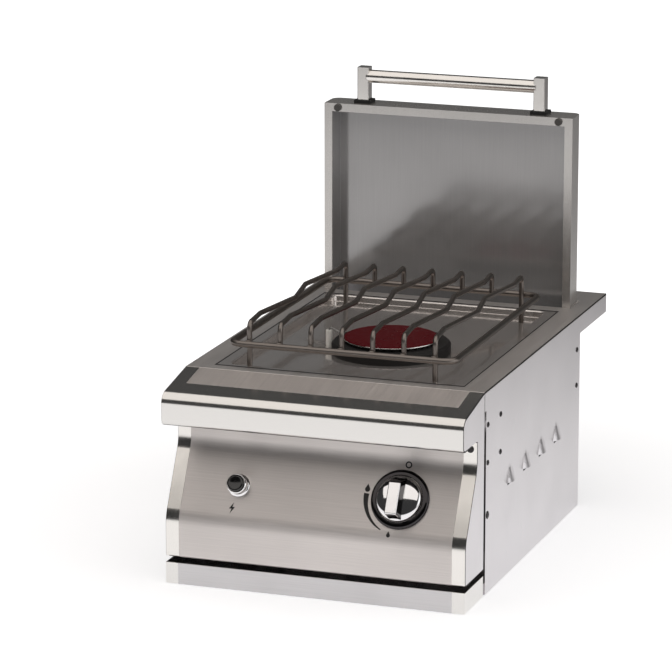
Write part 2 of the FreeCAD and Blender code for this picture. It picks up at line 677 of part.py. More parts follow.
# Control panel: upper face, slope and lip from one bent sheet, with polished strips at its ends
panel_back = f"(gauge * ({slope_length} - {slope_fall}) / {slope_run})"
panel_loop = [
    ("-panel_setback", "-nose_height"),
    ("-panel_setback", "-bend_drop", "bend_round"),
    ("-lip_reach", "-crease_drop", "crease_round"),
    ("-lip_reach", "-lip_drop", "lip_round"),
    ("lip_return - lip_reach", "-lip_drop"),
    ("lip_return - lip_reach", "gauge - lip_drop"),
    ("gauge - lip_reach", "gauge - lip_drop", "lip_round - gauge"),
    ("gauge - lip_reach", f"-crease_drop - {panel_back}", "crease_round - gauge"),
    ("gauge - panel_setback", f"-bend_drop - {panel_back}", "bend_round + gauge"),
    ("gauge - panel_setback", "-nose_height"),
]
trim_edge = f"({half} - trim_width)"
panel_sheet = pad("PanelSheet", "YZ_Plane", panel_loop, f"-{trim_edge}", trim_edge)


def slope_hole(name, x, slide, radius):
    drill = cylinder(name, "z", ("0", "0", "0"), radius, "8 * gauge")
    turn(drill, (1, 0, 0), number(slope_tilt))
    bind(drill, "Placement.Rotation.Angle", slope_tilt)
    return move(drill, x, slope_y(slide, "-4 * gauge"), slope_z(slide, "-4 * gauge"))


stem_hole = slope_hole("StemHole", "valve_x", "valve_slide", "stem_diameter / 2 + 2")
igniter_hole = slope_hole("IgniterHole", "-igniter_x", "igniter_slide", "igniter_radius + hair")
node("control_panel", cut("ControlPanel", panel_sheet, stem_hole, igniter_hole))

# End plates: close the ends of the nose and the control panel
plate_loop = [
    ("0", "-gauge"),
    ("gauge - front_reach", f"-{nose_inner_fall}", "nose_roll - gauge"),
    ("gauge - front_reach", "gauge - nose_height", "nose_curl - gauge"),
    ("gauge - panel_setback", "gauge - nose_height"),
    ("gauge - panel_setback", f"-bend_drop - {panel_back}", "bend_round + gauge"),
    ("gauge - lip_reach", f"-crease_drop - {panel_back}", "crease_round - gauge"),
    ("gauge - lip_reach", "gauge - lip_drop", "lip_round - gauge"),
    ("0", "gauge - lip_drop"),
]


def mirrored(low, high, side):
    return (low, high) if side > 0 else (f"-({high})", f"-({low})")


strip_screws = []
for side, tag in ((1, "right"), (-1, "left")):
    strip = pad(tag + "Strip", "YZ_Plane", panel_loop, *mirrored(trim_edge, half, side))
    plate = pad(tag + "Plate", "YZ_Plane", plate_loop, *mirrored(inside, half, side))
    tab = box(tag + "Tab", mirrored(f"{inside} - tab_width", inside, side),
              ("gauge - panel_setback", "2 * gauge - panel_setback"),
              ("-strip_screw_drop - tab_height / 2", "-strip_screw_drop + tab_height / 2"))
    across = f"{side} * ({half} - trim_width / 2)"
    drill = cylinder(tag + "StripHole", "y", (across, "-panel_setback - gauge", "-strip_screw_drop"),
                     "screw_shank / 2 + hair / 2", "4 * gauge")
    head = cylinder(tag + "StripHead", "y", (across, "-panel_setback - head_height", "-strip_screw_drop"),
                    "strip_screw_head / 2", "head_height")
    shank = cylinder(tag + "StripShank", "y", (across, "-panel_setback", "-strip_screw_drop"),
                     "screw_shank / 2", "strip_screw_length")
    strip_screws.append(fuse(tag + "StripScrew", head, shank))
    node(tag + "_panel_trim", cut(tag + "PanelTrim", strip, drill))
    node(tag + "_end_plate", cut(tag + "EndPlate", fuse(tag + "PlateBody", plate, tab), drill))
node("panel_screws", group("PanelScrews", strip_screws))

# Burner head: a drum with a ring of open gas ports, on a spigot through the pan
head_base = pan_floor
head_top = f"({pan_floor} + burner_height)"
crown_out = "crown_diameter / 2"
crown_in = "(crown_diameter / 2 - crown_wall)"
crown_top = f"({head_top} + port_height)"
chamber = f"({head_base} + 5)"
head_loop = [
    ("throat_radius", f"{pan_under} - spigot_length"),
    ("throat_radius + spigot_wall", f"{pan_under} - spigot_length"),
    ("throat_radius + spigot_wall", head_base),
    ("burner_diameter / 2", head_base),
    ("burner_diameter / 2", f"{head_top} - 3"),
    ("burner_diameter / 2 - 3", head_top),
    (crown_out, head_top),
    (crown_out, crown_top),
    (crown_in, crown_top),
    (crown_in, chamber),
    ("throat_radius", chamber),
]
head = turned("HeadTurned", head_loop)
port_loop = [
    (f"{crown_in} - 1", "-port_width / 2"),
    (f"{crown_out} + 1", "-port_width / 2"),
    (f"{crown_out} + 1", "port_width / 2"),
    (f"{crown_in} - 1", "port_width / 2"),
]
port_sketch = sketch_loop(head, "XY_Plane", port_loop, crown_top)
doc.recompute()
solid_head = head.Shape.Volume
ports = head.newObject("PartDesign::Pocket", "Ports")
ports.Profile = port_sketch
bind(ports, "Length", "port_height")
doc.recompute()
port_ring = head.newObject("PartDesign::PolarPattern", "PortRing")
port_ring.Originals = [ports]
port_ring.Axis = (port_sketch, ["N_Axis"])
port_ring.Angle = 360
bind(port_ring, "Occurrences", "port_count")
head.Tip = port_ring
doc.recompute()
if head.Shape.Volume > solid_head - number("port_count") * number("port_width"):
    raise ValueError("the gas ports were not cut")
node("burner_head", head, "0", "burner_y")

# Burner cap: a slightly domed lid with a skirt that drops into the port ring
skirt_out = f"({crown_in} - 1)"
skirt_in = f"({crown_in} - 4)"
cap_under = f"({crown_top} + hair)"
cap_loop = [
    ("0", cap_under),
    (skirt_in, cap_under),
    (skirt_in, f"{cap_under} - cap_skirt"),
    (skirt_out, f"{cap_under} - cap_skirt"),
    (skirt_out, cap_under),
    ("cap_diameter / 2", cap_under),
    ("cap_diameter / 2", f"{cap_under} + cap_thickness - 1"),
    ("cap_diameter / 2 - 1.5", f"{cap_under} + cap_thickness"),
    ("cap_diameter / 4", f"{cap_under} + cap_thickness + cap_crown * 0.8"),
    ("0", f"{cap_under} + cap_thickness + cap_crown"),
]
node("burner_cap", turned("BurnerCap", cap_loop), "0", "burner_y")

# Mixing tube: a collar under the pan, then a bend to a horizontal tube with an open mouth
collar_out = "(throat_radius + spigot_wall + collar_wall)"
spigot_hole = "throat_radius + spigot_wall + hair"
collar_bottom = f"({pan_under} - spigot_length - 4)"
collar = cylinder("Collar", "z", ("0", "burner_y", collar_bottom), collar_out,
                  f"{pan_under} - {collar_bottom}")
flange_plate = cylinder("CollarFlange", "z", ("0", "burner_y", f"{pan_under} - flange_gauge"),
                        "collar_flange", "flange_gauge")
mixer_mouth = "(burner_y - mixer_length)"
mixer_path = [
    ("0", "burner_y", f"{collar_bottom} + 2"),
    ("0", "burner_y", "-mixer_drop"),
    ("0", mixer_mouth, "-mixer_drop"),
]
mixer_outer = bent_rod("MixerOuter", mixer_path, "mixer_radius + mixer_wall", "mixer_bend")
mixer_inner = bent_rod("MixerInner", mixer_path, "mixer_radius", "mixer_bend")
collar_bore = cylinder("CollarBore", "z", ("0", "burner_y", f"{collar_bottom} + 2"),
                       spigot_hole, f"{pan_under} - {collar_bottom}")
mixer_body = fuse("MixerBody", mixer_outer, collar, flange_plate)
node("mixing_tube", cut("MixingTube", cut("MixerBore", mixer_body, mixer_inner), collar_bore))

# Air shutter: a slotted cup that turns on the mouth of the mixing tube
shutter_in = "(mixer_radius + mixer_wall + hair)"
shutter_end = f"({mixer_mouth} - shutter_length / 2)"
shutter_skin = cylinder("ShutterSkin", "y", ("0", shutter_end, "-mixer_drop"),
                        f"{shutter_in} + shutter_wall", "shutter_length")
shutter_hollow = cylinder("ShutterHollow", "y", ("0", f"{shutter_end} + shutter_wall", "-mixer_drop"),
                          shutter_in, "shutter_length")
shutter_hole = cylinder("ShutterHole", "y", ("0", f"{shutter_end} - shutter_wall", "-mixer_drop"),
                        "injector_radius + hair", "3 * shutter_wall")
slot_range = (f"{shutter_end} + 2 * shutter_wall", f"{mixer_mouth} - hair")
shutter_across = box("ShutterAcross", ("-2 * mixer_radius", "2 * mixer_radius"), slot_range,
                     ("-mixer_drop - shutter_slot / 2", "-mixer_drop + shutter_slot / 2"))
node("air_shutter", cut("AirShutter", cut("ShutterCup", shutter_skin, shutter_hollow),
                        shutter_hole, shutter_across))

# Injector: brass hexagon with a nose that looks into the mixing tube
injector_seat = f"({shutter_end} + 2 * shutter_wall - injector_length)"
injector_body = hexagon("InjectorHex", "y", ("0", injector_seat, "-mixer_drop"), "injector_hex",
                        "injector_length * 0.45")
injector_nose = cylinder("InjectorNose", "y", ("0", injector_seat, "-mixer_drop"), "injector_radius",
                         "injector_length")
injector_bore = cylinder("InjectorBore", "y", ("0", injector_seat, "-mixer_drop"), "feed_radius / 2",
                         "injector_length * 0.8")
injector_jet = cylinder("InjectorJet", "y", ("0", injector_seat, "-mixer_drop"), "jet_radius",
                        "2 * injector_length")
injector_solid = fuse("InjectorBody", injector_body, injector_nose)
node("injector", cut("Injector", injector_solid, injector_bore, injector_jet))

# Spark electrode: ceramic sleeve, wire with a tip over the burner, and its bracket
bracket_top = f"({pan_under} - flange_gauge)"
bracket_low = f"({bracket_top} - gauge)"
ceramic_low = "(ceramic_top - ceramic_length)"
ceramic = cylinder("Ceramic", "z", ("-electrode_x", "burner_y", ceramic_low), "ceramic_diameter / 2",
                   "ceramic_length")
ceramic_bore = cylinder("CeramicBore", "z", ("-electrode_x", "burner_y", f"{ceramic_low} - 1"),
                        "wire_diameter / 2 + 0.02", "ceramic_length + 2")
shoulder = cylinder("CeramicShoulder", "z", ("-electrode_x", "burner_y", bracket_top),
                    "ceramic_diameter / 2 + 2", "flange_gauge - 0.5")
node("electrode_ceramic", cut("ElectrodeCeramic", fuse("CeramicBody", ceramic, shoulder), ceramic_bore))
wire_path = [
    ("-electrode_x", "burner_y", f"{ceramic_low} - 8"),
    ("-electrode_x", "burner_y", "ceramic_top + 2 * wire_diameter"),
    ("cap_diameter / -2 - 4", "burner_y", "ceramic_top - 2 * wire_diameter"),
]
node("electrode_rod", bent_rod("ElectrodeRod", wire_path, "wire_diameter / 2", "wire_diameter * 1.5"))
bracket_bar = box("BracketBar", ("-electrode_x - bracket_width / 2", "0"),
                  ("burner_y - bracket_width / 2", "burner_y + bracket_width / 2"),
                  (bracket_low, bracket_top))
bracket_ring = cylinder("BracketRing", "z", ("0", "burner_y", bracket_low), "collar_flange", "gauge")
bracket_bore = cylinder("BracketBore", "z", ("0", "burner_y", f"{bracket_low} - gauge"),
                        f"{collar_out} + hair", "3 * gauge")
bracket_hole = cylinder("BracketHole", "z", ("-electrode_x", "burner_y", f"{bracket_low} - gauge"),
                        "ceramic_diameter / 2 + 0.1", "3 * gauge")
node("electrode_bracket", cut("ElectrodeBracket", fuse("BracketBody", bracket_bar, bracket_ring),
                              bracket_bore, bracket_hole))

# Grate ring: one closed bar with rounded corners
ring_side = "ring_width / 2"
ring_path = [
    ("0", "ring_front", "ring_height"),
    (ring_side, "ring_front", "ring_height"),
    (ring_side, "ring_rear", "ring_height"),
    (f"-{ring_side}", "ring_rear", "ring_height"),
    (f"-{ring_side}", "ring_front", "ring_height"),
    ("0", "ring_front", "ring_height"),
]
node("grate_ring", bent_rod("GrateRing", ring_path, "ring_rod / 2", "ring_bend"))

# Cooking rods: a riser, a level run that waves sideways and a riser at the back. The outer two
# run on down past the ring as legs, onto the floor of the pan's recess.
rod_radius = "rod_diameter / 2"
run_height = "(rod_top - rod_diameter / 2)"
riser_front = "(ring_front + ring_rod / 2 + rod_diameter / 2)"
riser_rear = "(ring_rear - ring_rod / 2 - rod_diameter / 2)"
seat_height = "(ring_height - ring_rod / 2)"


def grate_rod(index, count):
    middle = f"({index} - (rod_count - 1) / 2) * rod_pitch"
    front = f"({middle} - rod_wave / 6)"
    rear = f"({middle} + rod_wave / 3)"
    is_leg = index in (0, count - 1)
    foot = "(hair - recess_depth)" if is_leg else seat_height
    return [
        (front, riser_front, foot),
        (front, riser_front, run_height),
        (f"{middle} - rod_wave", "burner_y - wave_first", run_height),
        (f"{middle} + rod_wave", "burner_y - wave_second", run_height),
        (f"{middle} - rod_wave", "burner_y + wave_third", run_height),
        (f"{middle} + rod_wave", "burner_y + wave_fourth", run_height),
        (rear, riser_rear, run_height),
        (rear, riser_rear, foot),
    ]


rod_total = int(number("rod_count"))
for index in range(rod_total):
    rod = bent_rod(f"GrateRod{index + 1}", grate_rod(index, rod_total), rod_radius, "rod_bend")
    node(f"grate_rod_{index + 1}", rod)

# Gas train: inlet fitting, supply pipe, manifold, valve, feed tube
valve_depth = "(gauge + bonnet_length + valve_length)"
manifold_out = f"(-{valve_depth} - manifold_radius)"
manifold_y = slope_y("valve_slide", manifold_out)
manifold_z = slope_z("valve_slide", manifold_out)
manifold_start = "(valve_x - manifold_left)"
manifold_bar = cylinder("ManifoldBar", "x", (manifold_start, manifold_y, manifold_z), "manifold_radius",
                        "manifold_left + manifold_right")
manifold_bore = cylinder("ManifoldBore", "x", (f"{manifold_start} - 1", manifold_y, manifold_z),
                         "supply_radius - pipe_wall", "manifold_left + manifold_right - 5 * pipe_wall")
node("manifold_pipe", cut("Manifold", manifold_bar, manifold_bore))
inlet_hex_height = "inlet_collar_height"
inlet_inner = f"({rear_inner} - {inlet_hex_height})"
supply_route = [
    ("-supply_x", inlet_inner, "-supply_drop"),
    ("-supply_x", manifold_y, "-supply_drop"),
    ("-supply_x", manifold_y, manifold_z),
    (manifold_start, manifold_y, manifold_z),
]
node("supply_pipe", bent_tube("SupplyPipe", supply_route, "supply_radius", "pipe_wall", "supply_bend"))
inlet_neck = f"({rear_face} + inlet_length - inlet_tail - inlet_groove)"
inlet_stub = cylinder("InletStub", "y", ("-supply_x", inlet_inner, "-supply_drop"), "inlet_radius",
                      f"{inlet_neck} - {inlet_inner}")
inlet_relief = cylinder("InletRelief", "y", ("-supply_x", inlet_neck, "-supply_drop"), "groove_radius",
                        "inlet_groove")
inlet_end = cylinder("InletEnd", "y", ("-supply_x", f"{inlet_neck} + inlet_groove", "-supply_drop"),
                     "inlet_radius", "inlet_tail")
inlet_collar = hexagon("InletHex", "y", ("-supply_x", inlet_inner, "-supply_drop"), "inlet_hex",
                       inlet_hex_height)
inlet_bore = cylinder("InletBore", "y", ("-supply_x", f"{inlet_inner} - 1", "-supply_drop"),
                      "inlet_radius / 2", f"{inlet_hex_height} + gauge + inlet_length + 2")
inlet_body = fuse("InletBody", inlet_stub, inlet_collar, inlet_relief, inlet_end)
node("gas_inlet", cut("GasInlet", inlet_body, inlet_bore))
nut_body = hexagon("InletNutHex", "y", ("-supply_x", rear_face, "-supply_drop"), "inlet_hex",
                   "inlet_nut_height")
nut_bore = cylinder("InletNutBore", "y", ("-supply_x", f"{rear_face} - 1", "-supply_drop"),
                    "inlet_radius + 0.1", "inlet_nut_height + 2")
node("inlet_nut", cut("InletNut", nut_body, nut_bore))

# Valve, drawn with Z out of the panel: bonnet, block, and a cavity for the tapered plug
plug_top = "(-gauge - bonnet_length)"
plug_low = f"({plug_top} - valve_length + 5)"
bonnet = cylinder("Bonnet", "z", ("0", "0", plug_top), "bonnet_radius", "bonnet_length")
block_half = "valve_block / 2"
block = box("ValveBlock", (f"-{block_half}", block_half), (f"-{block_half}", block_half),
            (f"-{valve_depth}", plug_top))
saddle = cylinder("ValveSaddle", "x", (f"-{block_half} - 1", "0", manifold_out), "manifold_radius + 0.05",
                  "valve_block + 2")
plug_room = doc.addObject("Part::Cone", "PlugRoom")
bind(plug_room, "Radius1", "plug_radius - plug_taper + hair")
bind(plug_room, "Radius2", "plug_radius + hair")
bind(plug_room, "Height", f"{plug_top} - {plug_low} + 2 * hair")
move(plug_room, "0", "0", f"{plug_low} - hair")
stem_bore = cylinder("StemBore", "z", ("0", "0", plug_low), "stem_diameter / 2 + hair", f"-{plug_low}")
outlet_level = f"({plug_top} - valve_length / 2)"
outlet = cylinder("ValveOutlet", "x", (f"-{block_half} - 10", "0", outlet_level), "feed_radius + 2", "10")
gas_in = cylinder("ValveGasIn", "z", ("0", "0", f"-{valve_depth} - 1"), "feed_radius - pipe_wall",
                  f"{plug_low} + {valve_depth} + 1")
gas_out = cylinder("ValveGasOut", "x", (f"-{block_half} - 11", "0", outlet_level), "feed_radius - pipe_wall",
                   f"{block_half} + 11")
valve_solid = fuse("ValveSolid", bonnet, block, outlet)
valve_hollow = cut("ValveCavity", valve_solid, saddle, plug_room, gas_in, gas_out)
on_slope("valve_body", cut("ValveBody", valve_hollow, stem_bore), "valve_x", "valve_slide")

feed_y = slope_y("valve_slide", outlet_level)
feed_z = slope_z("valve_slide", outlet_level)
feed_route = [
    (f"valve_x - {block_half} - 10", feed_y, feed_z),
    ("0", feed_y, feed_z),
    ("0", f"{injector_seat} - 2.2 * feed_bend", "-mixer_drop"),
    ("0", injector_seat, "-mixer_drop"),
]
node("feed_tube", bent_tube("FeedTube", feed_route, "feed_radius", "pipe_wall", "feed_bend"))

# Valve plug: tapered, turned by the stem, which slides in it when the knob is pushed
stem_low = f"({plug_top} - push_travel - 4)"
plug_loop = [
    ("0", plug_low),
    ("plug_radius - plug_taper", plug_low),
    ("plug_radius", plug_top),
    ("stem_diameter / 2 + hair", plug_top),
    ("stem_diameter / 2 + hair", f"{stem_low} - push_travel - 1"),
    ("0", f"{stem_low} - push_travel - 1"),
]
plug_bore = cylinder("PlugBore", "z", ("0", "0", f"{plug_low} - 1"), "feed_radius / 2",
                     f"{outlet_level} - {plug_low} + 1")
plug_port = cylinder("PlugPort", "x", ("-2 * plug_radius", "0", outlet_level), "feed_radius / 2",
                     "2 * plug_radius")
on_slope("valve_plug", cut("ValvePlug", turned("PlugTurned", plug_loop), plug_bore, plug_port),
         "valve_x", "valve_slide")
stem_top = "(knob_dome + 4)"
stem = cylinder("ValveStem", "z", ("0", "0", "0"), "stem_diameter / 2", f"{stem_top} - {stem_low}")
on_slope("valve_stem", stem, "valve_x", "valve_slide")
move(stem, "valve_x", f"{deck_edge} + {slope_y('valve_slide', stem_low)}",
     f"housing_height + {slope_z('valve_slide', stem_low)}")

# Knob: a dome with a raised grip across it, over a bezel ring
dome_loop = [
    ("0", "knob_gap"),
    ("knob_radius", "knob_gap"),
    ("knob_radius", "knob_gap + 2"),
    ("knob_radius * 0.96", "knob_gap + (knob_dome - knob_gap) * 0.45"),
    ("knob_radius * 0.82", "knob_gap + (knob_dome - knob_gap) * 0.72"),
    ("knob_radius * 0.55", "knob_gap + (knob_dome - knob_gap) * 0.92"),
    ("0", "knob_dome"),
]
dome = turned("KnobDome", dome_loop)
grip_loop = [
    ("-knob_radius * 0.93", "knob_gap + 2"),
    ("knob_radius * 0.93", "knob_gap + 2"),
    ("knob_radius * 0.8", "grip_height", "grip_height / 3"),
    ("-knob_radius * 0.8", "grip_height", "grip_height / 3"),
]
grip = pad("KnobGrip", "YZ_Plane", grip_loop, "-grip_width / 2", "grip_width / 2")
knob_bore = cylinder("KnobBore", "z", ("0", "0", "0"), "stem_diameter / 2 + 0.05", f"{stem_top} + hair")
knob_solid = fuse("KnobBody", dome, grip)
on_slope("control_knob", cut("ControlKnob", knob_solid, knob_bore), "valve_x", "valve_slide")
bezel_in = "(knob_radius + 1)"
bezel_loop = [
    (bezel_in, "0"),
    ("bezel_radius", "0"),
    ("bezel_radius", "bezel_height * 0.4"),
    ("bezel_radius - bezel_height * 0.5", "bezel_height"),
    (bezel_in, "bezel_height"),
]
on_slope("knob_bezel", turned("KnobBezel", bezel_loop), "valve_x", "valve_slide")

# Igniter: body with a flange behind the panel, collar on the panel, push button in the collar
collar_loop = [
    ("button_radius + hair", "0"),
    ("collar_radius", "0"),
    ("collar_radius", "collar_height * 0.7"),
    ("collar_radius - 1", "collar_height"),
    ("button_radius + hair", "collar_height"),
]
on_slope("igniter_collar", turned("IgniterCollar", collar_loop), "-igniter_x", "igniter_slide")
button_low = "(button_travel + 1.5)"
button_loop = [
    ("0", button_low),
    ("button_radius", button_low),
    ("button_radius", "button_height - 2"),
    ("button_radius - 0.6", "button_height - 0.6"),
    ("button_radius - 2", "button_height"),
    ("0", "button_height - 0.8"),
]
on_slope("igniter_button", turned("IgniterButton", button_loop), "-igniter_x", "igniter_slide")
igniter_loop = [
    ("0", "-gauge - igniter_depth"),
    ("igniter_radius - 2", "-gauge - igniter_depth"),
    ("igniter_radius", "-gauge - igniter_depth + 4"),
    ("igniter_radius", "-gauge - 3"),
    ("igniter_radius + 3.5", "-gauge - 3"),
    ("igniter_radius + 3.5", "-gauge"),
    ("igniter_radius", "-gauge"),
    ("igniter_radius", "1"),
    ("0", "1"),
]
on_slope("igniter_body", turned("IgniterBody", igniter_loop), "-igniter_x", "igniter_slide")

# Lid: outer shell with rounded back edges and a rim, and a recessed liner
lid_half = "lid_width / 2"
lid_loop = [
    (f"-{lid_half}", "lid_front"),
    (lid_half, "lid_front"),
    (lid_half, lid_back, "lid_round"),
    (f"-{lid_half}", lid_back, "lid_round"),
]
shell_solid = pad("LidSolid", "XY_Plane", lid_loop, "-lid_sunk", "lid_rise")
hollow_loop = [
    (f"gauge - {lid_half}", "lid_front + gauge"),
    (f"{lid_half} - gauge", "lid_front + gauge"),
    (f"{lid_half} - gauge", f"{lid_back} - gauge", "lid_round - gauge"),
    (f"gauge - {lid_half}", f"{lid_back} - gauge", "lid_round - gauge"),
]
lid_hollow = pad("LidHollow", "XY_Plane", hollow_loop, "gauge - lid_sunk", "lid_rise - gauge")
mouth_side = f"({lid_half} - lid_rim)"
lid_mouth = box("LidMouth", (f"-{mouth_side}", mouth_side), ("lid_front - 1", "lid_front + 2 * gauge"),
                ("lid_rim - lid_sunk", "lid_rise - lid_rim"))
handle_holes = []
handle_screws = []
posts = []
gaskets = []
for side, tag in ((-1, "left"), (1, "right")):
    across = f"{side} * post_span / 2"
    handle_holes.append(cylinder(tag + "HandleHole", "z", (across, lid_middle, "lid_rise - 2 * gauge"),
                                 "screw_shank / 2 + hair / 2", "gasket_height + 4 * gauge"))
    gasket_wide = "(post_width / 2 + gasket_margin)"
    gasket_deep = "(post_depth / 2 + gasket_margin)"
    gasket_x = (f"{across} - {gasket_wide}", f"{across} + {gasket_wide}")
    gasket_y = (f"{lid_middle} - {gasket_deep}", f"{lid_middle} + {gasket_deep}")
    gasket = box(tag + "Gasket", gasket_x, gasket_y, ("lid_rise", "lid_rise + gasket_height"))
    gasket_bore = cylinder(tag + "GasketBore", "z", (across, lid_middle, "lid_rise - 1"),
                           "screw_shank / 2 + hair / 2", "gasket_height + 2")
    gaskets.append(cut(tag + "GasketCut", gasket, gasket_bore))
    post_low = "(lid_rise + gasket_height)"
    post_top = f"({post_low} + post_height)"
    post_loop = [
        (f"{across} - post_width / 2", f"{lid_middle} - post_depth / 2", "post_round"),
        (f"{across} + post_width / 2", f"{lid_middle} - post_depth / 2", "post_round"),
        (f"{across} + post_width / 2", f"{lid_middle} + post_depth / 2", "post_round"),
        (f"{across} - post_width / 2", f"{lid_middle} + post_depth / 2", "post_round"),
    ]
    post = pad(tag + "Post", "XY_Plane", post_loop, post_low, post_top)
    inner_face = f"({across} - {side} * post_width / 2)"
    seat = cylinder(tag + "TubeSeat", "x",
                    (f"{inner_face} - tube_seat - hair", lid_middle, f"{post_top} - tube_drop"),
                    "tube_diameter / 2 + 0.05", "2 * tube_seat + 2 * hair")
    tap = cylinder(tag + "PostTap", "z", (across, lid_middle, f"{post_low} - 1"),
                   "screw_shank / 2 + 0.02", "2 * screw_length + 1 + hair")
    posts.append((tag, cut(tag + "HandlePost", post, seat, tap)))
    head = cylinder(tag + "HandleHead", "z", (across, lid_middle, "lid_rise - gauge - head_height"),
                    "screw_head / 2", "head_height")
    shank = cylinder(tag + "HandleShank", "z", (across, lid_middle, "lid_rise - gauge"),
                     "screw_shank / 2", "gauge + gasket_height + 2 * screw_length")
    handle_screws.append(fuse(tag + "HandleScrew", head, shank))
shell_top = cut("LidOpen", cut("LidHollowed", shell_solid, lid_hollow), lid_mouth)
node("lid_shell", cut("LidShell", shell_top, *handle_holes))
liner_loop = [
    (f"-{mouth_side} - gauge", "lid_front + gauge"),
    (f"{mouth_side} + gauge", "lid_front + gauge"),
    (f"{mouth_side} + gauge", "lid_front + liner_depth + gauge"),
    (f"-{mouth_side} - gauge", "lid_front + liner_depth + gauge"),
]
liner_solid = pad("LinerSolid", "XY_Plane", liner_loop, "lid_rim - gauge - lid_sunk",
                  "lid_rise - lid_rim + gauge")
liner_hollow = box("LinerHollow", (f"-{mouth_side}", mouth_side), ("lid_front", "lid_front + liner_depth"),
                   ("lid_rim - lid_sunk", "lid_rise - lid_rim"))
node("lid_liner", cut("LidLiner", liner_solid, liner_hollow))

# Lid handle: posts on gaskets, a tube between them, and screws from inside the lid
for tag, post in posts:
    node(f"{tag}_handle_post", post)
node("handle_gaskets", group("HandleGaskets", gaskets))
node("handle_screws", group("HandleScrews", handle_screws))
tube_start = "(post_width / 2 - post_span / 2 - tube_seat)"
tube_level = "(lid_rise + gasket_height + post_height - tube_drop)"
tube_skin = cylinder("TubeSkin", "x", (tube_start, lid_middle, tube_level), "tube_diameter / 2",
                     f"-2 * {tube_start}")
tube_bore = cylinder("TubeBore", "x", (f"{tube_start} - 1", lid_middle, tube_level),
                     "tube_diameter / 2 - gauge", f"2 - 2 * {tube_start}")
node("handle_tube", cut("HandleTube", tube_skin, tube_bore))

# Lid bumpers: rubber buttons on the rim's upper corners
bumpers = []
for index, side in enumerate((-1, 1)):
    spot = (f"{side} * bumper_span / 2", "lid_front - bumper_height", "lid_rise - lid_rim / 2")
    bumpers.append(cylinder(f"Bumper{index}", "y", spot, "bumper_diameter / 2", "bumper_height"))
node("lid_bumpers", group("LidBumpers", bumpers))

# Lid rests: brackets on the rear panel that carry the parked lid
rest_seat = "(-lid_sunk - hair)"
rest_end = f"({lid_back} + slot_gap + gauge)"
for side, tag in ((-1, "left"), (1, "right")):
    across = f"{side} * rest_span / 2"
    rest_loop = [
        (rear_face, f"{rest_seat} + rest_plate - gauge"),
        (rear_face, f"{rest_seat} - gauge"),
        (rest_end, f"{rest_seat} - gauge"),
        (rest_end, f"{rest_seat} + rest_lip"),
        (f"{rest_end} - gauge", f"{rest_seat} + rest_lip"),
        (f"{rest_end} - gauge", rest_seat),
        (f"{rear_face} + gauge", rest_seat),
        (f"{rear_face} + gauge", f"{rest_seat} + rest_plate - gauge"),
    ]
    node(f"{tag}_lid_rest", pad(tag + "LidRest", "YZ_Plane", rest_loop, f"{across} - rest_width / 2",
                                f"{across} + rest_width / 2"))

# Recompute, test every object, then write each piece
doc.recompute()
faults = [thing.Name for thing in doc.Objects if "Invalid" in thing.State or "Error" in thing.State]
faults += [piece.Label for piece in nodes if piece.Shape.isNull() or not piece.Shape.isValid()]
if faults:
    raise ValueError("failed: " + ", ".join(faults))
os.makedirs("parts", exist_ok=True)
for piece in nodes:
    piece.Shape.exportStep(os.path.join("parts", piece.Label + ".step"))
print(len(nodes), "pieces written")
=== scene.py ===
import bpy
import bmesh
import json
import math
from mathutils import Matrix, Vector


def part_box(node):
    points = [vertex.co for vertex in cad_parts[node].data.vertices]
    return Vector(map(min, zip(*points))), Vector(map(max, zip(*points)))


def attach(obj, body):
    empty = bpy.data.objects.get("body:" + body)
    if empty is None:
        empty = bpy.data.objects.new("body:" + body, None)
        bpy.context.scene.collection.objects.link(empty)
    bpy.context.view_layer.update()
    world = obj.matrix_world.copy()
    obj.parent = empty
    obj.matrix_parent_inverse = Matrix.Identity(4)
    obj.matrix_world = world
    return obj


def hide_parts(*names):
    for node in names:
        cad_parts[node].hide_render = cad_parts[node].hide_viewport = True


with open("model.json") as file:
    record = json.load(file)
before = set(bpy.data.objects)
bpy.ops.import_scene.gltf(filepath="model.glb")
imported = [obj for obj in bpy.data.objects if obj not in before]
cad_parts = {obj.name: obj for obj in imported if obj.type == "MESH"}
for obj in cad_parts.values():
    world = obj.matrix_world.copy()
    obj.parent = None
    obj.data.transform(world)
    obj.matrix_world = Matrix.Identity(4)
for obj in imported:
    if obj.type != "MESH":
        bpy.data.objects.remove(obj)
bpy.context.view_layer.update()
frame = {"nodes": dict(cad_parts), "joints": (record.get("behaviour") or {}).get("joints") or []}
nodes = frame["nodes"]
mm = 0.001
print("frame loaded:", len(nodes), "nodes")


def linear(hexColour):
    channels = [int(hexColour[i:i + 2], 16) / 255 for i in (0, 2, 4)]
    return [c / 12.92 if c <= 0.04045 else ((c + 0.055) / 1.055) ** 2.4 for c in channels] + [1.0]


def addNode(tree, kind, settings=None, sockets=None):
    made = tree.nodes.new(kind)
    for name, value in (settings or {}).items():
        setattr(made, name, value)
    for name, value in (sockets or {}).items():
        if isinstance(value, bpy.types.NodeSocket):
            tree.links.new(value, made.inputs[name])
        else:
            made.inputs[name].default_value = value
    return made


def newMaterial(name):
    material = bpy.data.materials.new(name)
    material.use_nodes = True
    material.node_tree.nodes.clear()
    return material, material.node_tree


noiseSpan = {"From Min": 0.3, "From Max": 0.7}   # most of a noise pattern lies between these
# sheet also holds a near-black colour and roughness that are painted shade on hidden undersides
sheet = {"clouds": 90, "cloudShade": 0.04, "glossShare": 0.1, "relief": 0.4,   # clouds and relief in mm
         "border": "dedcd9", "borderRough": 0.17, "mill": "1f1e1e", "millRough": 0.6}
skin = {"gloss": 0.04, "glossiest": 0.02, "relief": 0.3}   # relief in mm


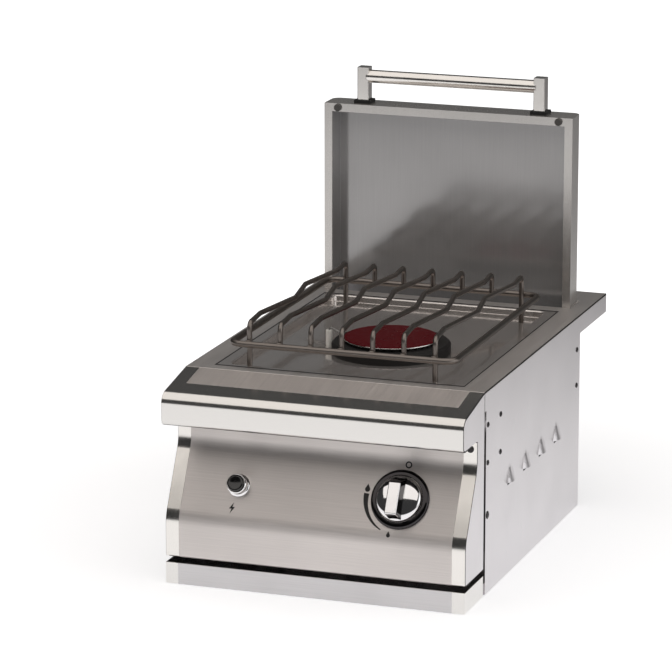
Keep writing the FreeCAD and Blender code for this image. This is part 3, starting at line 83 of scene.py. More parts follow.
def brushedSteel(name, colour, grain, rough, contrast=0.05, bump=0.06, field=None, smear=None, extra=None):
    # rolled sheet, brushed: fine parallel lines that smear a reflection across the grain;
    # outside the field, where one is given, the sheet is polished bright
    material, tree = newMaterial(name)
    place = addNode(tree, "ShaderNodeTexCoord")
    lines = addNode(tree, "ShaderNodeMapping", None,
                    {"Vector": place.outputs["Object"], "Scale": [1 / (size * mm) for size in grain]})
    streaks = addNode(tree, "ShaderNodeTexNoise", None,
                      {"Vector": lines.outputs[0], "Scale": 1.0, "Detail": 3.0, "Roughness": 0.6})
    clouds = addNode(tree, "ShaderNodeTexNoise", None,   # uneven polish
                     {"Vector": place.outputs["Object"], "Scale": 1 / (sheet["clouds"] * mm), "Detail": 2.0})
    shade = addNode(tree, "ShaderNodeMapRange", None,
                    {"Value": streaks.outputs[0], **noiseSpan, "To Min": 1 - contrast, "To Max": 1 + contrast})
    cloudy = addNode(tree, "ShaderNodeMapRange", None,
                     {"Value": clouds.outputs[0], **noiseSpan,
                      "To Min": 1 - sheet["cloudShade"], "To Max": 1 + sheet["cloudShade"]})
    both = addNode(tree, "ShaderNodeMath", {"operation": "MULTIPLY"}, {0: shade.outputs[0], 1: cloudy.outputs[0]})
    tint = addNode(tree, "ShaderNodeMix", {"data_type": "RGBA", "blend_type": "MULTIPLY"},
                   {"Factor": 1.0, "A": linear(colour), "B": both.outputs[0]})
    gloss = addNode(tree, "ShaderNodeMapRange", None,
                    {"Value": streaks.outputs[0], **noiseSpan,
                     "To Min": rough * (1 - sheet["glossShare"]), "To Max": rough * (1 + sheet["glossShare"])})
    relief = addNode(tree, "ShaderNodeBump", None,
                     {"Height": streaks.outputs[0], "Strength": bump, "Distance": sheet["relief"] * mm})
    finish = {"Base Color": tint.outputs[2], "Roughness": gloss.outputs[0], "Normal": relief.outputs[0]}
    if field:
        axes = addNode(tree, "ShaderNodeSeparateXYZ", None, {0: place.outputs["Object"]})
        across = addNode(tree, "ShaderNodeMath", {"operation": "ABSOLUTE"}, {0: axes.outputs["X"]})
        within = addNode(tree, "ShaderNodeMath", {"operation": "LESS_THAN"},
                         {0: across.outputs[0], 1: field["halfWidth"] * mm})
        behind = addNode(tree, "ShaderNodeMath", {"operation": "GREATER_THAN"},
                         {0: axes.outputs["Y"], 1: field["front"] * mm})
        inside = addNode(tree, "ShaderNodeMath", {"operation": "MULTIPLY"},
                         {0: within.outputs[0], 1: behind.outputs[0]})
        tint = addNode(tree, "ShaderNodeMix", {"data_type": "RGBA"},
                       {"Factor": inside.outputs[0], "A": linear(sheet["border"]), "B": tint.outputs[2]})
        gloss = addNode(tree, "ShaderNodeMix", None,
                        {"Factor": inside.outputs[0], "A": sheet["borderRough"], "B": gloss.outputs[0]})
        depth = addNode(tree, "ShaderNodeMath", {"operation": "MULTIPLY"}, {0: inside.outputs[0], 1: bump})
        tree.links.new(depth.outputs[0], relief.inputs["Strength"])
        finish.update({"Base Color": tint.outputs[2], "Roughness": gloss.outputs[0]})
    if field and "under" in field:   # painted shade: the underside below this height is made near black and dull
        shadedUnderside = addNode(tree, "ShaderNodeMath", {"operation": "LESS_THAN"},
                         {0: axes.outputs["Z"], 1: field["under"] * mm})
        tint = addNode(tree, "ShaderNodeMix", {"data_type": "RGBA"},
                       {"Factor": shadedUnderside.outputs[0], "A": tint.outputs[2], "B": linear(sheet["mill"])})
        gloss = addNode(tree, "ShaderNodeMix", None,
                        {"Factor": shadedUnderside.outputs[0], "A": gloss.outputs[0], "B": sheet["millRough"]})
        finish.update({"Base Color": tint.outputs[2], "Roughness": gloss.outputs[0]})
    if smear:   # direction across the grain, in which reflections are drawn out
        across = addNode(tree, "ShaderNodeCombineXYZ", None, dict(zip("XYZ", smear)))
        finish.update({"Tangent": across.outputs[0]})
    shader = addNode(tree, "ShaderNodeBsdfPrincipled", None, {"Metallic": 1.0, **finish, **(extra or {})})
    addNode(tree, "ShaderNodeOutputMaterial", None, {"Surface": shader.outputs[0]})
    return material


def evenFinish(name, colour, rough, metallic, grit, depth, spread, extra=None):
    # one finish all over: casting skin, enamel, plating, rubber or moulded plastic;
    # grit is the size of its grain in mm, depth how far that stands out, spread how far it tints
    material, tree = newMaterial(name)
    place = addNode(tree, "ShaderNodeTexCoord")
    speckle = addNode(tree, "ShaderNodeTexNoise", None,
                      {"Vector": place.outputs["Object"], "Scale": 1 / (grit * mm), "Detail": 3.0})
    shade = addNode(tree, "ShaderNodeMapRange", None,
                    {"Value": speckle.outputs[0], **noiseSpan, "To Min": 1 - spread, "To Max": 1 + spread})
    tint = addNode(tree, "ShaderNodeMix", {"data_type": "RGBA", "blend_type": "MULTIPLY"},
                   {"Factor": 1.0, "A": linear(colour), "B": shade.outputs[0]})
    gloss = addNode(tree, "ShaderNodeMapRange", None,
                    {"Value": speckle.outputs[0], **noiseSpan,
                     "To Min": max(rough - skin["gloss"], skin["glossiest"]), "To Max": rough + skin["gloss"]})
    relief = addNode(tree, "ShaderNodeBump", None,
                     {"Height": speckle.outputs[0], "Strength": depth, "Distance": skin["relief"] * mm})
    shader = addNode(tree, "ShaderNodeBsdfPrincipled", None,
                     {"Base Color": tint.outputs[2], "Metallic": metallic, "Roughness": gloss.outputs[0],
                      "Normal": relief.outputs[0], **(extra or {})})
    addNode(tree, "ShaderNodeOutputMaterial", None, {"Surface": shader.outputs[0]})
    return material


acrossGrain = (70, 1.4, 1.4)   # lines along the width, coarser than real ones so that they show
depthGrain = (1.4, 70, 70)     # lines from front to back
uprightGrain = (1.4, 1.4, 70)  # lines up and down

# rolled skin under the brushing gives the deck a faint clear reflection over a soft one
deckSteel = brushedSteel("deck_brushed_stainless", "dcd7d4", depthGrain, 0.46,
                         extra={"Coat Weight": 0.8, "Coat Roughness": 0.1, "Metallic": 0.85})
# drawn bright, so that the pan mirrors the rods
panSteel = brushedSteel("pan_drawn_stainless", "e2dcd8", acrossGrain, 0.16, 0.03, 0.012,
                        extra={"Coat Weight": 0.8, "Coat Roughness": 0.05, "Metallic": 0.8})
# plain side sheets with a soft sheen that fades upwards
sideSteel = brushedSteel("side_brushed_stainless", "cfccce", uprightGrain, 0.25, 0.04)
# brushed across, so that reflections are drawn out up and down
panelSteel = brushedSteel("panel_brushed_stainless", "dcd6d3", acrossGrain, 0.4, smear=(0, 0, 1),
                          extra={"Anisotropic": 0.7})
# brushed top inside a polished frame that looks darker, with painted shade on its underside
noseSteel = brushedSteel("nose_framed_stainless", "dcd5d1", depthGrain, 0.47,
                         field={"halfWidth": 161, "front": -254.5, "under": 188.7}, extra={"Metallic": 0.95})
# brushed front between two bright ends
apronSteel = brushedSteel("apron_brushed_stainless", "cac8c9", acrossGrain, 0.32, 0.04,
                          field={"halfWidth": 163, "front": -999})   # no border along the front
# satin sheet, with a haze that scatters some light
rimSteel = brushedSteel("lid_brushed_stainless", "cbc8c5", uprightGrain, 0.22, extra={"Metallic": 0.8})
linerSteel = brushedSteel("liner_satin_stainless", "a9a8a8", uprightGrain, 0.14, 0.03, 0.008,
                          extra={"Metallic": 0.48})

# name, colour, roughness, metallic, grit, depth, spread
stripSteel = evenFinish("strip_polished_stainless", "e4e1dd", 0.18, 1.0, 30, 0.0, 0.02)   # soft mirror, warm white
chrome = evenFinish("knob_chrome_plate", "e8e7e8", 0.05, 1.0, 20, 0.0, 0.02)   # clear mirror, cool white
smokyChromeAndGripShade = evenFinish("bezel_dark_chrome_and_grip_shade", "3f3d3e", 0.08, 1.0, 12, 0.0, 0.04)   # smoky mirror on the bezel, and painted shade on the knob's grip
barSteel = evenFinish("grate_bar_steel", "7e7772", 0.36, 1.0, 9, 0.0, 0.03)   # satin grey-brown bar
redEnamel = evenFinish("cap_red_enamel", "580610", 0.3, 0.0, 9, 0.0, 0.04,
                       {"Specular IOR Level": 0.06})   # deep red, hardly shiny
blackIron = evenFinish("burner_cast_iron", "1d1b1a", 0.62, 0.3, 1.6, 0.6, 0.2)   # sandy, dull black
whiteCeramic = evenFinish("electrode_glazed_ceramic", "f8f6f1", 0.18, 0.0, 6, 0.04, 0.03,
                          {"Coat Weight": 0.5})   # white under a clear glaze
blackRubber = evenFinish("gasket_moulded_rubber", "171717", 0.72, 0.0, 1.2, 0.3, 0.1)   # flat black
greyRubber = evenFinish("bumper_grey_rubber", "565452", 0.6, 0.0, 1.2, 0.2, 0.1)   # flat grey
blackPlastic = evenFinish("button_gloss_plastic", "0e0e0f", 0.14, 0.0, 8, 0.02, 0.05,
                          {"Coat Weight": 0.4})   # black with sharp highlights
brassMetal = evenFinish("fitting_machined_brass", "c39a4a", 0.28, 1.0, 3, 0.08, 0.08)   # yellow, turned
tubeSteel = evenFinish("pipe_plain_steel", "8f8e8d", 0.34, 1.0, 4, 0.1, 0.1)   # dull grey tube
screwSteel = evenFinish("screw_dark_steel", "3b393a", 0.32, 1.0, 3, 0.1, 0.1)   # dark, oiled
edgeShade = evenFinish("sheet_end_painted_shade", "2b2928", 0.55, 1.0, 1.5, 0.3, 0.15)   # painted shade: dark, rough end faces that stand in for a shadow line
markInk = evenFinish("panel_print_ink", "1a1819", 0.5, 0.0, 2, 0.05, 0.1)   # matt black print
print("materials made")


def finishPiece(name, bm, body, material, replaced=(), sharpAngle=40):
    mesh = bpy.data.meshes.new(name)
    bm.to_mesh(mesh)
    bm.free()
    for face in mesh.polygons:
        face.use_smooth = True
    mesh.set_sharp_from_angle(angle=math.radians(sharpAngle))
    mesh.materials.append(material)
    piece = bpy.data.objects.new(name, mesh)
    bpy.context.scene.collection.objects.link(piece)
    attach(piece, body)
    if replaced:
        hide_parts(*replaced)
    even = piece.modifiers.new("flat faces stay flat", "WEIGHTED_NORMAL")
    even.keep_sharp = True
    return piece


def softened(nodeName, body, material, edge=0.35, sharpAngle=40, rolled=None, shadeEndAt=None):
    # the CAD piece with its sharp edges broken, so that they catch the light;
    # rolled gives a box in mm whose top edges are drawn over a larger radius,
    # shadeEndAt the place across, in mm, where the sheet ends; its end faces there are painted dark as a shadow line
    bm = bmesh.new()
    bm.from_mesh(nodes[nodeName].data)
    bmesh.ops.remove_doubles(bm, verts=bm.verts, dist=1e-6)
    bmesh.ops.dissolve_limit(bm, angle_limit=math.radians(0.5), verts=bm.verts, edges=bm.edges)
    crisp = [e for e in bm.edges if e.is_manifold and e.calc_face_angle() > math.radians(42)]
    if rolled:
        drawn = [e for e in crisp if all(
            abs(v.co.x) < rolled["halfWidth"] * mm and rolled["front"] * mm < v.co.y < rolled["rear"] * mm
            and abs(v.co.z - rolled["top"] * mm) < 0.05 * mm for v in e.verts)]
        crisp = [e for e in crisp if e not in drawn]
        bmesh.ops.bevel(bm, geom=drawn, offset=rolled["radius"] * mm, offset_type="OFFSET", affect="EDGES",
                        segments=5, profile=0.5, material=-1)
        crisp = [e for e in crisp if e.is_valid]
        print(nodeName, "rolled edges:", len(drawn))
    bmesh.ops.bevel(bm, geom=crisp, offset=edge * mm, offset_type="OFFSET", affect="EDGES", segments=2,
                    profile=0.5, material=-1, clamp_overlap=True)
    if shadeEndAt:   # painted shade: the sheet's end faces are made dark, drawing a shadow line
        for face in bm.faces:
            if abs(face.normal.x) > 0.3 and abs(face.calc_center_median().x) > (shadeEndAt - 0.7) * mm:
                face.material_index = 1
    piece = finishPiece("soft_" + nodeName, bm, body, material, (nodeName,), sharpAngle)
    if shadeEndAt:
        piece.data.materials.append(edgeShade)
    return piece


def spun(bm, profile, matrix, steps=64):
    # radius and height in mm, turned about Z and set down with the matrix
    ring = [bm.verts.new((radius * mm, 0, height * mm)) for radius, height in profile]
    line = [bm.edges.new(pair) for pair in zip(ring, ring[1:])]
    before = set(bm.verts) - set(ring)
    bmesh.ops.spin(bm, geom=ring + line, cent=(0, 0, 0), axis=(0, 0, 1), angle=math.tau, steps=steps, use_merge=True)
    turned = [v for v in bm.verts if v not in before]
    bmesh.ops.remove_doubles(bm, verts=turned, dist=1e-6)
    turned = [v for v in bm.verts if v not in before]
    bmesh.ops.recalc_face_normals(bm, faces=list({f for v in turned for f in v.link_faces}))
    bmesh.ops.transform(bm, matrix=matrix, verts=turned)


sheets = {
    "left_side_panel": (sideSteel, "housing"), "rear_panel": (sideSteel, "housing"),
    "right_end_plate": (sideSteel, "housing"), "left_end_plate": (sideSteel, "housing"),
    "control_panel": (panelSteel, "housing"),
    "front_apron": (apronSteel, "housing"), "lid_shell": (rimSteel, "lid"), "lid_liner": (linerSteel, "lid"),
}
for nodeName, (material, body) in sheets.items():
    softened(nodeName, body, material)
panBox = [[value / mm for value in corner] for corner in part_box("burner_pan")]
panRoll = {"halfWidth": panBox[1][0] - 3, "front": panBox[0][1] + 2, "rear": panBox[1][1] - 2, "top": panBox[1][2],
           "radius": 2.6}
softened("burner_pan", "housing", panSteel, 0.6, rolled=panRoll)   # recess has a round edge
softened("top_deck", "housing", deckSteel, 0.4, shadeEndAt=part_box("top_deck")[1][0] / mm)
softened("right_side_panel", "housing", sideSteel, 0.3, 14)   # louvres keep their outline
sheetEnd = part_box("front_nose")[1][0] / mm
softened("front_nose", "housing", noseSteel, 0.5, shadeEndAt=sheetEnd)
for nodeName in ("right_panel_trim", "left_panel_trim"):
    softened(nodeName, "housing", stripSteel, 0.5, shadeEndAt=sheetEnd)
for nodeName in ("left_handle_post", "right_handle_post"):
    softened(nodeName, "lid", stripSteel, 0.9)
softened("handle_tube", "lid", stripSteel, 0.6)
softened("handle_gaskets", "lid", blackRubber, 0.8)
softened("lid_bumpers", "lid", greyRubber, 0.9)
cap = softened("burner_cap", "burner_cap", redEnamel, 0.9)
cap.data.materials.append(stripSteel)   # bare edge below the enamel
for face in cap.data.polygons:
    if face.normal.z < 0.3:
        face.material_index = 1
softened("electrode_ceramic", "housing", whiteCeramic, 0.6)
print("softened pieces made")

knobJoint = next(j for j in frame["joints"] if j["name"] == "knob_turn")
out = Vector(knobJoint["axis"])
up = out.cross(Vector((1, 0, 0)))
slopeTurn = Matrix((Vector((1, 0, 0)), up, out)).transposed().to_4x4()   # X across, Y up the slope, Z out
onKnob = Matrix.Translation(knobJoint["pos_m"]) @ slopeTurn

knob = {"skirt": 26, "bore": 4.2, "under": 4.7, "lead": (0.8, 0.7), "shoulder": 7.4, "dome": 15, "gripWidth": 15.5,
        "gripLength": 49, "gripFoot": 7, "gripTop": 30, "crest": (0.9, 0.74, 1), "droop": 4.5, "edge": 1.3}
dome = [(knob["skirt"] * math.cos(a), knob["shoulder"] + (knob["dome"] - knob["shoulder"]) * math.sin(a))
        for a in (math.radians(step) for step in range(6, 91, 7))]
bm = bmesh.new()
spun(bm, [(knob["bore"], knob["under"]), (knob["skirt"] - knob["lead"][0], knob["under"]),
          (knob["skirt"], knob["under"] + knob["lead"][1]), (knob["skirt"], knob["shoulder"])]
     + dome + [(0, knob["dome"])], onKnob)
grip = bmesh.ops.create_cube(bm, size=1)["verts"]
gripHeight = knob["gripTop"] - knob["gripFoot"]
bmesh.ops.scale(bm, verts=grip, vec=(knob["gripWidth"] * mm, knob["gripLength"] * mm, gripHeight * mm))
crest = [v for v in grip if v.co.z > 0]
bmesh.ops.scale(bm, verts=crest, vec=knob["crest"])   # sides lean in, ends slope
bmesh.ops.translate(bm, verts=crest, vec=(0, -knob["droop"] * mm, 0))   # the upper end more than the lower
bmesh.ops.translate(bm, verts=grip, vec=(0, 0, (knob["gripFoot"] + gripHeight / 2) * mm))
gripEdges = list({e for v in crest for e in v.link_edges})
worn = bmesh.ops.bevel(bm, geom=gripEdges, offset=knob["edge"] * mm, offset_type="OFFSET", affect="EDGES",
                       segments=3, profile=0.5, material=-1)
gripVerts = {v for f in worn["faces"] for v in f.verts} | {v for v in grip if v.is_valid}
bm.normal_update()
for face in {f for v in gripVerts for f in v.link_faces}:   # painted shade: flanks and upper end take the darker chrome
    if abs(face.normal.x) > 0.9 or face.normal.y > 0.6:
        face.material_index = 1
bmesh.ops.transform(bm, matrix=onKnob, verts=list(gripVerts))
turned = finishPiece("knob_chrome", bm, "knob", chrome, ("control_knob",))
# second slot: the darker chrome, painted shade on the grip
turned.data.materials.append(smokyChromeAndGripShade)

bezel = {"inner": 27, "outer": 34, "height": 4, "lead": 0.6,
         "crown": [(0, 1.4), (0.8, 3.0), (2.2, 3.8), (3.6, 4)]}   # in from the outside, up
bm = bmesh.new()
spun(bm, [(bezel["inner"], 0), (bezel["outer"], 0)]
     + [(bezel["outer"] - inward, rise) for inward, rise in bezel["crown"]]
     + [(bezel["inner"] + bezel["lead"], bezel["height"]), (bezel["inner"], bezel["height"] - bezel["lead"]),
        (bezel["inner"], 0)], onKnob)
finishPiece("bezel_ring", bm, "housing", smokyChromeAndGripShade, ("knob_bezel",))

igniter = {"place": (-96.5, -258.438, 117.168), "bore": 10.3, "flange": 13, "collar": 11.5, "collarTop": 10.5,
           "button": 10, "buttonTop": 14.5, "buttonFoot": 5.5,
           "crown": [(0, 2.4), (0.4, 1.0), (1.3, 0.25), (2.6, 0)]}   # in from the side, down from the top
onIgniter = Matrix.Translation([value * mm for value in igniter["place"]]) @ slopeTurn
bm = bmesh.new()
spun(bm, [(igniter["bore"], 0.1), (igniter["flange"], 0.1), (igniter["flange"], 1.0), (igniter["flange"] - 0.8, 1.8),
          (igniter["collar"], 2.2), (igniter["collar"], igniter["collarTop"] - 0.8),
          (igniter["collar"] - 0.8, igniter["collarTop"]), (igniter["bore"], igniter["collarTop"]),
          (igniter["bore"], 0.1)], onIgniter)
finishPiece("igniter_chrome", bm, "housing", chrome, ("igniter_collar",))
bm = bmesh.new()
top = igniter["buttonTop"]
spun(bm, [(0, igniter["buttonFoot"]), (igniter["button"] - 0.2, igniter["buttonFoot"])]
     + [(igniter["button"] - inward, top - fall) for inward, fall in igniter["crown"]]
     + [(igniter["button"] / 2, top - 0.5), (0, top - 0.8)], onIgniter)   # finger hollow
finishPiece("igniter_cap", bm, "igniter_button", blackPlastic, ("igniter_button",))
print("knob and igniter made")


def screwHead(bm, matrix, head, length, shank=2, socket=0.42):
    # domed head with a round socket for the driver, on a plain shank
    spun(bm, [(0, 0.45), (head * socket, 0.45), (head * socket, 1.15), (head * 0.7, 1.05), (head - 0.3, 0.7),
              (head, 0.3), (head, 0), (shank, 0), (shank, -length), (0, -length)], matrix, 24)


sideScrews = {"x": 178, "length": 7,   # each place: back, up, radius of the head
              "places": [(-197.5, 197.5, 3.2), (-197.5, 153.5, 3.2), (-197.5, 92.5, 4.5), (-149.5, 197.5, 3.2),
                         (-149.5, 153.5, 3.2), (160.5, 197.5, 3.2), (160.5, 153.5, 3.2)]}
bm = bmesh.new()
for side in (1, -1):
    facing = Matrix.Rotation(side * math.pi / 2, 4, "Y")
    for y, z, head in sideScrews["places"]:
        spot = Matrix.Translation((side * sideScrews["x"] * mm, y * mm, z * mm))
        screwHead(bm, spot @ facing, head, sideScrews["length"])
finishPiece("side_screw_heads", bm, "housing", screwSteel, ("side_panel_screws",))
panelScrews = {"x": 170, "y": -237.5, "z": 179, "head": 4.25, "length": 6}
bm = bmesh.new()
for side in (1, -1):
    spot = Matrix.Translation((side * panelScrews["x"] * mm, panelScrews["y"] * mm, panelScrews["z"] * mm))
    screwHead(bm, spot @ Matrix.Rotation(math.pi / 2, 4, "X"), panelScrews["head"], panelScrews["length"])
finishPiece("panel_screw_heads", bm, "housing", screwSteel, ("panel_screws",))
print("screws made")

marks = {"lift": 0.05, "ink": 0.1, "arc": (175, 244), "arcWide": 3.1, "arcThin": 0.6, "arcRadius": 40.1,
         "off": (4, 40), "offRing": (2.4, 3.9), "high": (-39.7, 9.6, 9.4), "low": (-8, -40.5, 7),
         "drop": 0.32, "tip": 1.1, "waist": 0.6, "sink": 0.15,   # a flame's foot and tip, as shares of its height
         "bend": 36, "bendFrom": 34.1, "crease": 40, "creaseFrom": 35.3, "spark": (-4, -26.5),
         "sparkShape": [(1.6, 6.6), (-3.4, -0.8), (-0.4, -0.8), (-1.7, -6.4), (3.4, 1.3), (0.5, 1.3)]}
bm = bmesh.new()
first, last = [math.radians(a) for a in marks["arc"]]
pair = [bm.verts.new((marks["arcRadius"] * mm * math.cos(first), marks["arcRadius"] * mm * math.sin(first), 0))
        for _ in range(2)]
pair[1].co *= 1.0001   # kept apart until the arc is widened
bmesh.ops.spin(bm, geom=pair + [bm.edges.new(pair)], cent=(0, 0, 0), axis=(0, 0, 1), angle=last - first, steps=28)
for vert in bm.verts:   # the arc thins towards low
    share = ((math.atan2(vert.co.y, vert.co.x) - first) % math.tau) / (last - first)
    share = 0 if share > 1.5 else min(share, 1)
    half = marks["arcWide"] + (marks["arcThin"] - marks["arcWide"]) * share
    grow = 1 if vert.co.length > marks["arcRadius"] * mm * 1.00005 else -1
    vert.co *= 1 + grow * half / marks["arcRadius"]
x, y = marks["off"]
ring = [bm.verts.new((r * mm, 0, 0)) for r in marks["offRing"]]
before = set(bm.verts) - set(ring)
bmesh.ops.spin(bm, geom=ring + [bm.edges.new(ring)], cent=(0, 0, 0), axis=(0, 0, 1), angle=math.tau, steps=32,
               use_merge=True)
bmesh.ops.translate(bm, verts=[v for v in bm.verts if v not in before], vec=(x * mm, y * mm, 0))
for x, y, tall in (marks["high"], marks["low"]):
    foot = tall * marks["drop"] * mm
    drop = bmesh.ops.create_circle(bm, cap_ends=True, segments=28, radius=foot)["verts"]
    for vert in drop:   # round foot, drawn up to a tip
        lift = max(vert.co.y / foot, 0)
        vert.co.x *= max(1 - lift ** 2, 0) ** marks["waist"]
        vert.co.y *= 1 + lift * marks["tip"]
    bmesh.ops.translate(bm, verts=drop, vec=(x * mm, (y - tall * marks["sink"]) * mm, 0))
inkFaces = list(bm.faces)
raised = bmesh.ops.extrude_face_region(bm, geom=inkFaces)["geom"]
bmesh.ops.translate(bm, verts=[v for v in raised if isinstance(v, bmesh.types.BMVert)],
                    vec=(0, 0, marks["ink"] * mm))
bmesh.ops.recalc_face_normals(bm, faces=bm.faces)
bmesh.ops.translate(bm, verts=bm.verts, vec=(0, 0, marks["lift"] * mm))
for vert in bm.verts:   # laid over the bend above the knob and the crease below it
    rise = max(vert.co.y - marks["bendFrom"] * mm, 0)
    fall = max(-marks["creaseFrom"] * mm - vert.co.y, 0)
    vert.co.z += marks["bend"] * mm - math.sqrt((marks["bend"] * mm) ** 2 - rise ** 2)
    vert.co.z -= marks["crease"] * mm - math.sqrt((marks["crease"] * mm) ** 2 - fall ** 2)
bmesh.ops.transform(bm, matrix=onKnob, verts=bm.verts)
finishPiece("dial_marks", bm, "housing", markInk)
bm = bmesh.new()
x, y = marks["spark"]
bm.faces.new([bm.verts.new(((x + dx) * mm, (y + dy) * mm, 0)) for dx, dy in marks["sparkShape"]])
raised = bmesh.ops.extrude_face_region(bm, geom=list(bm.faces))["geom"]
bmesh.ops.translate(bm, verts=[v for v in raised if isinstance(v, bmesh.types.BMVert)],
                    vec=(0, 0, marks["ink"] * mm))
bmesh.ops.recalc_face_normals(bm, faces=bm.faces)
bmesh.ops.translate(bm, verts=bm.verts, vec=(0, 0, marks["lift"] * mm))
bmesh.ops.transform(bm, matrix=onIgniter, verts=bm.verts)
finishPiece("igniter_mark", bm, "housing", markInk)
print("marks made")

seamShade = {"overPan": 0.2, "sides": 1.4, "ends": 3.0, "lift": 0.03, "proud": 0.1}   # painted shade: a thin dark strip laid in the joint round the pan
bm = bmesh.new()
panSpan = [high - low for low, high in zip(*panBox)]
panMiddle = [(high + low) / 2 for low, high in zip(*panBox)]
for dx, dy in ((-seamShade["overPan"], -seamShade["overPan"]), (seamShade["sides"], seamShade["ends"])):
    outline = bmesh.ops.create_grid(bm, x_segments=1, y_segments=1, size=0.5)["verts"]
    bmesh.ops.scale(bm, verts=outline, vec=((panSpan[0] + 2 * dx) * mm, (panSpan[1] + 2 * dy) * mm, 1))
bmesh.ops.delete(bm, geom=bm.faces[:], context="FACES_ONLY")
bmesh.ops.bridge_loops(bm, edges=bm.edges[:])
bmesh.ops.translate(bm, verts=bm.verts,
                    vec=(panMiddle[0] * mm, panMiddle[1] * mm, (panBox[1][2] + seamShade["lift"]) * mm))
raised = bmesh.ops.extrude_face_region(bm, geom=list(bm.faces))["geom"]
bmesh.ops.translate(bm, verts=[v for v in raised if isinstance(v, bmesh.types.BMVert)],
                    vec=(0, 0, seamShade["proud"] * mm))
bmesh.ops.recalc_face_normals(bm, faces=bm.faces)
finishPiece("pan_seam_shade", bm, "housing", blackRubber)
print("pan seal made")

rods = [f"grate_rod_{number}" for number in range(1, 8)]
welds = {"front": (-1, -185.4), "rear": (2, 147.4), "z": 265.4, "size": (4.2, 2.6, 2.3)}
bm = bmesh.new()
for rod in rods:
    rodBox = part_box(rod)
    middle = (rodBox[0][0] + rodBox[1][0]) / 2
    for x, y in (welds["front"], welds["rear"]):   # bead in the corner between rod and ring
        bead = bmesh.ops.create_uvsphere(bm, u_segments=16, v_segments=10, radius=mm)["verts"]
        bmesh.ops.scale(bm, verts=bead, vec=welds["size"])
        bmesh.ops.translate(bm, verts=bead, vec=(middle + x * mm, y * mm, welds["z"] * mm))
finishPiece("grate_welds", bm, "grate", barSteel)
print("welds made")

kept = {   # nodes that keep their CAD shape
    barSteel: ["grate_ring"] + rods,
    blackIron: ["burner_head", "mixing_tube"],
    brassMetal: ["valve_body", "valve_plug", "injector", "gas_inlet", "inlet_nut"],
    tubeSteel: ["manifold_pipe", "supply_pipe", "feed_tube", "valve_stem", "air_shutter", "electrode_rod",
                "electrode_bracket"],
    sideSteel: ["base_tray", "left_lid_rest", "right_lid_rest"],
    screwSteel: ["handle_screws"],
    blackPlastic: ["igniter_body"],
}
for material, names in kept.items():
    for name in names:
        nodes[name].data.materials.clear()
        nodes[name].data.materials.append(material)
print("kept nodes dressed")

studio = {   # metres, watts and degrees
    "floorSize": 16.0, "floorDrop": 0.0005, "floorColour": "e6e7ea", "litPatch": (-0.2, -0.9, 0),
    "camera": (1.439, -4.2915, 1.377), "turn": (75.87, 0, 19.39), "lens": 213.27, "sensor": 36, "reach": 60,
    "boxWatts": 68, "boxSize": (5.0, 4.2), "boxPlace": (0, -0.6, 2.35), "boxAim": (0, -0.1, 0.2), "boxTint": "fffaf5",
    # each fade: where it starts, where it ends, strength at the start and at the end
    "seenGlow": (0.3, 1.4, 0.55, 1.0), "mirrorGlow": (0.9, 2.7, 0.6, 0.0),
    "rightWall": (0.75, 0.95, 0.04, 1.4), "backWall": (0.6, 0.9, 0.0, 0.11), "wallTop": (0.28, 0.42, 1.0, 0.0),
}
fades = {name: dict(zip(("From Min", "From Max", "To Min", "To Max"), studio[name]))
         for name in ("seenGlow", "mirrorGlow", "rightWall", "backWall", "wallTop")}
bm = bmesh.new()
bmesh.ops.create_grid(bm, x_segments=1, y_segments=1, size=studio["floorSize"] / 2,
                      matrix=Matrix.Translation((0, 0, -studio["floorDrop"])))
floorMesh = bpy.data.meshes.new("floor")
bm.to_mesh(floorMesh)
bm.free()
floor = bpy.data.objects.new("floor", floorMesh)
bpy.context.scene.collection.objects.link(floor)

floorMaterial, tree = newMaterial("studio_white_floor")   # white sweep that still shows the contact shadow
place = addNode(tree, "ShaderNodeTexCoord")
reach = addNode(tree, "ShaderNodeVectorMath", {"operation": "LENGTH"}, {0: place.outputs["Object"]})
ahead = addNode(tree, "ShaderNodeVectorMath", {"operation": "DISTANCE"},   # the lit patch lies before the burner
                {0: place.outputs["Object"], 1: studio["litPatch"]})
path = addNode(tree, "ShaderNodeLightPath")
seen = addNode(tree, "ShaderNodeMapRange", {"interpolation_type": "SMOOTHSTEP"},
               {"Value": reach.outputs["Value"], **fades["seenGlow"]})
mirrored = addNode(tree, "ShaderNodeMapRange", {"interpolation_type": "SMOOTHSTEP"},
                   {"Value": ahead.outputs["Value"], **fades["mirrorGlow"]})
seenGlow = addNode(tree, "ShaderNodeMath", {"operation": "MULTIPLY"},
                   {0: seen.outputs[0], 1: path.outputs["Is Camera Ray"]})
shiny = addNode(tree, "ShaderNodeMath", {"operation": "MAXIMUM"},
                {0: path.outputs["Is Glossy Ray"], 1: path.outputs["Is Transmission Ray"]})
shinyGlow = addNode(tree, "ShaderNodeMath", {"operation": "MULTIPLY"}, {0: mirrored.outputs[0], 1: shiny.outputs[0]})
glow = addNode(tree, "ShaderNodeMath", {"operation": "ADD"}, {0: seenGlow.outputs[0], 1: shinyGlow.outputs[0]})
white = addNode(tree, "ShaderNodeEmission", None, {"Color": (1, 1, 1, 1), "Strength": glow.outputs[0]})
matte = addNode(tree, "ShaderNodeBsdfDiffuse", None, {"Color": linear(studio["floorColour"])})
sumUp = addNode(tree, "ShaderNodeAddShader", None, {0: white.outputs[0], 1: matte.outputs[0]})
addNode(tree, "ShaderNodeOutputMaterial", None, {"Surface": sumUp.outputs[0]})
floorMesh.materials.append(floorMaterial)

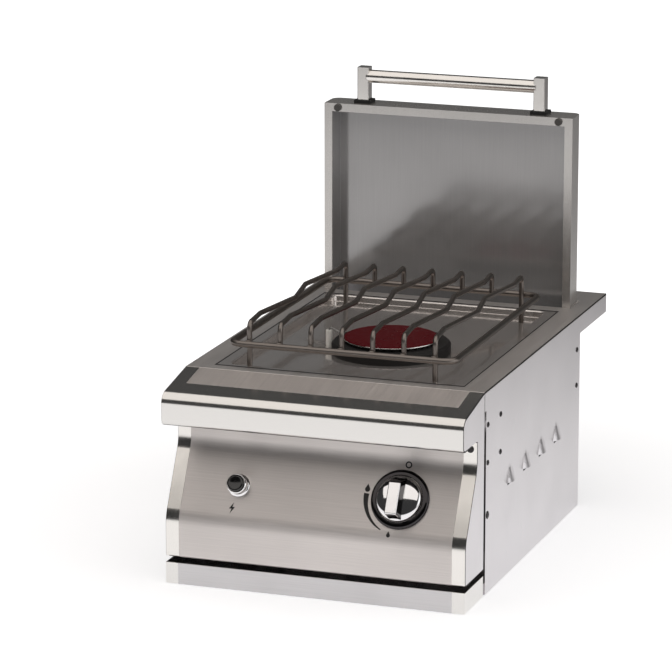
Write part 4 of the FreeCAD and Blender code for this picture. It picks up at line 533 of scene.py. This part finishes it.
world = bpy.data.worlds.new("studio_room")
bpy.context.scene.world = world
world.use_nodes = True
tree = world.node_tree
tree.nodes.clear()
place = addNode(tree, "ShaderNodeTexCoord")
axes = addNode(tree, "ShaderNodeSeparateXYZ", None, {0: place.outputs["Generated"]})
path = addNode(tree, "ShaderNodeLightPath")
rightWall = addNode(tree, "ShaderNodeMapRange", {"interpolation_type": "SMOOTHSTEP"},   # dark room, pale right wall
                    {"Value": axes.outputs["X"], **fades["rightWall"]})
backWall = addNode(tree, "ShaderNodeMapRange", {"interpolation_type": "SMOOTHSTEP"},   # and a low grey one behind
                   {"Value": axes.outputs["Y"], **fades["backWall"]})
low = addNode(tree, "ShaderNodeMapRange", {"interpolation_type": "SMOOTHSTEP"},
              {"Value": axes.outputs["Z"], **fades["wallTop"]})
behind = addNode(tree, "ShaderNodeMath", {"operation": "MULTIPLY"}, {0: backWall.outputs[0], 1: low.outputs[0]})
room = addNode(tree, "ShaderNodeMath", {"operation": "MAXIMUM"}, {0: rightWall.outputs[0], 1: behind.outputs[0]})
level = addNode(tree, "ShaderNodeMix", None,
                {"Factor": path.outputs["Is Camera Ray"], "A": room.outputs[0], "B": 1.0})
backdrop = addNode(tree, "ShaderNodeBackground", None, {"Color": (1, 1, 1, 1), "Strength": level.outputs[0]})
addNode(tree, "ShaderNodeOutputWorld", None, {"Surface": backdrop.outputs[0]})

lamp = bpy.data.lights.new("overhead_softbox", "AREA")
lamp.shape = "RECTANGLE"
lamp.size, lamp.size_y = studio["boxSize"]
lamp.energy = studio["boxWatts"]
lamp.color = linear(studio["boxTint"])[:3]
holder = bpy.data.objects.new("overhead_softbox", lamp)
holder.location = studio["boxPlace"]
aim = Vector(studio["boxAim"]) - Vector(studio["boxPlace"])
holder.rotation_euler = aim.to_track_quat("-Z", "Y").to_euler()
bpy.context.scene.collection.objects.link(holder)

lens = bpy.data.cameras.new("camera")
lens.lens = studio["lens"]
lens.sensor_width = studio["sensor"]
lens.clip_end = studio["reach"]
camera = bpy.data.objects.new("camera", lens)
camera.location = studio["camera"]
camera.rotation_euler = [math.radians(angle) for angle in studio["turn"]]
bpy.context.scene.collection.objects.link(camera)
bpy.context.scene.camera = camera
bpy.context.scene.view_settings.view_transform = "Standard"
print("stage set")
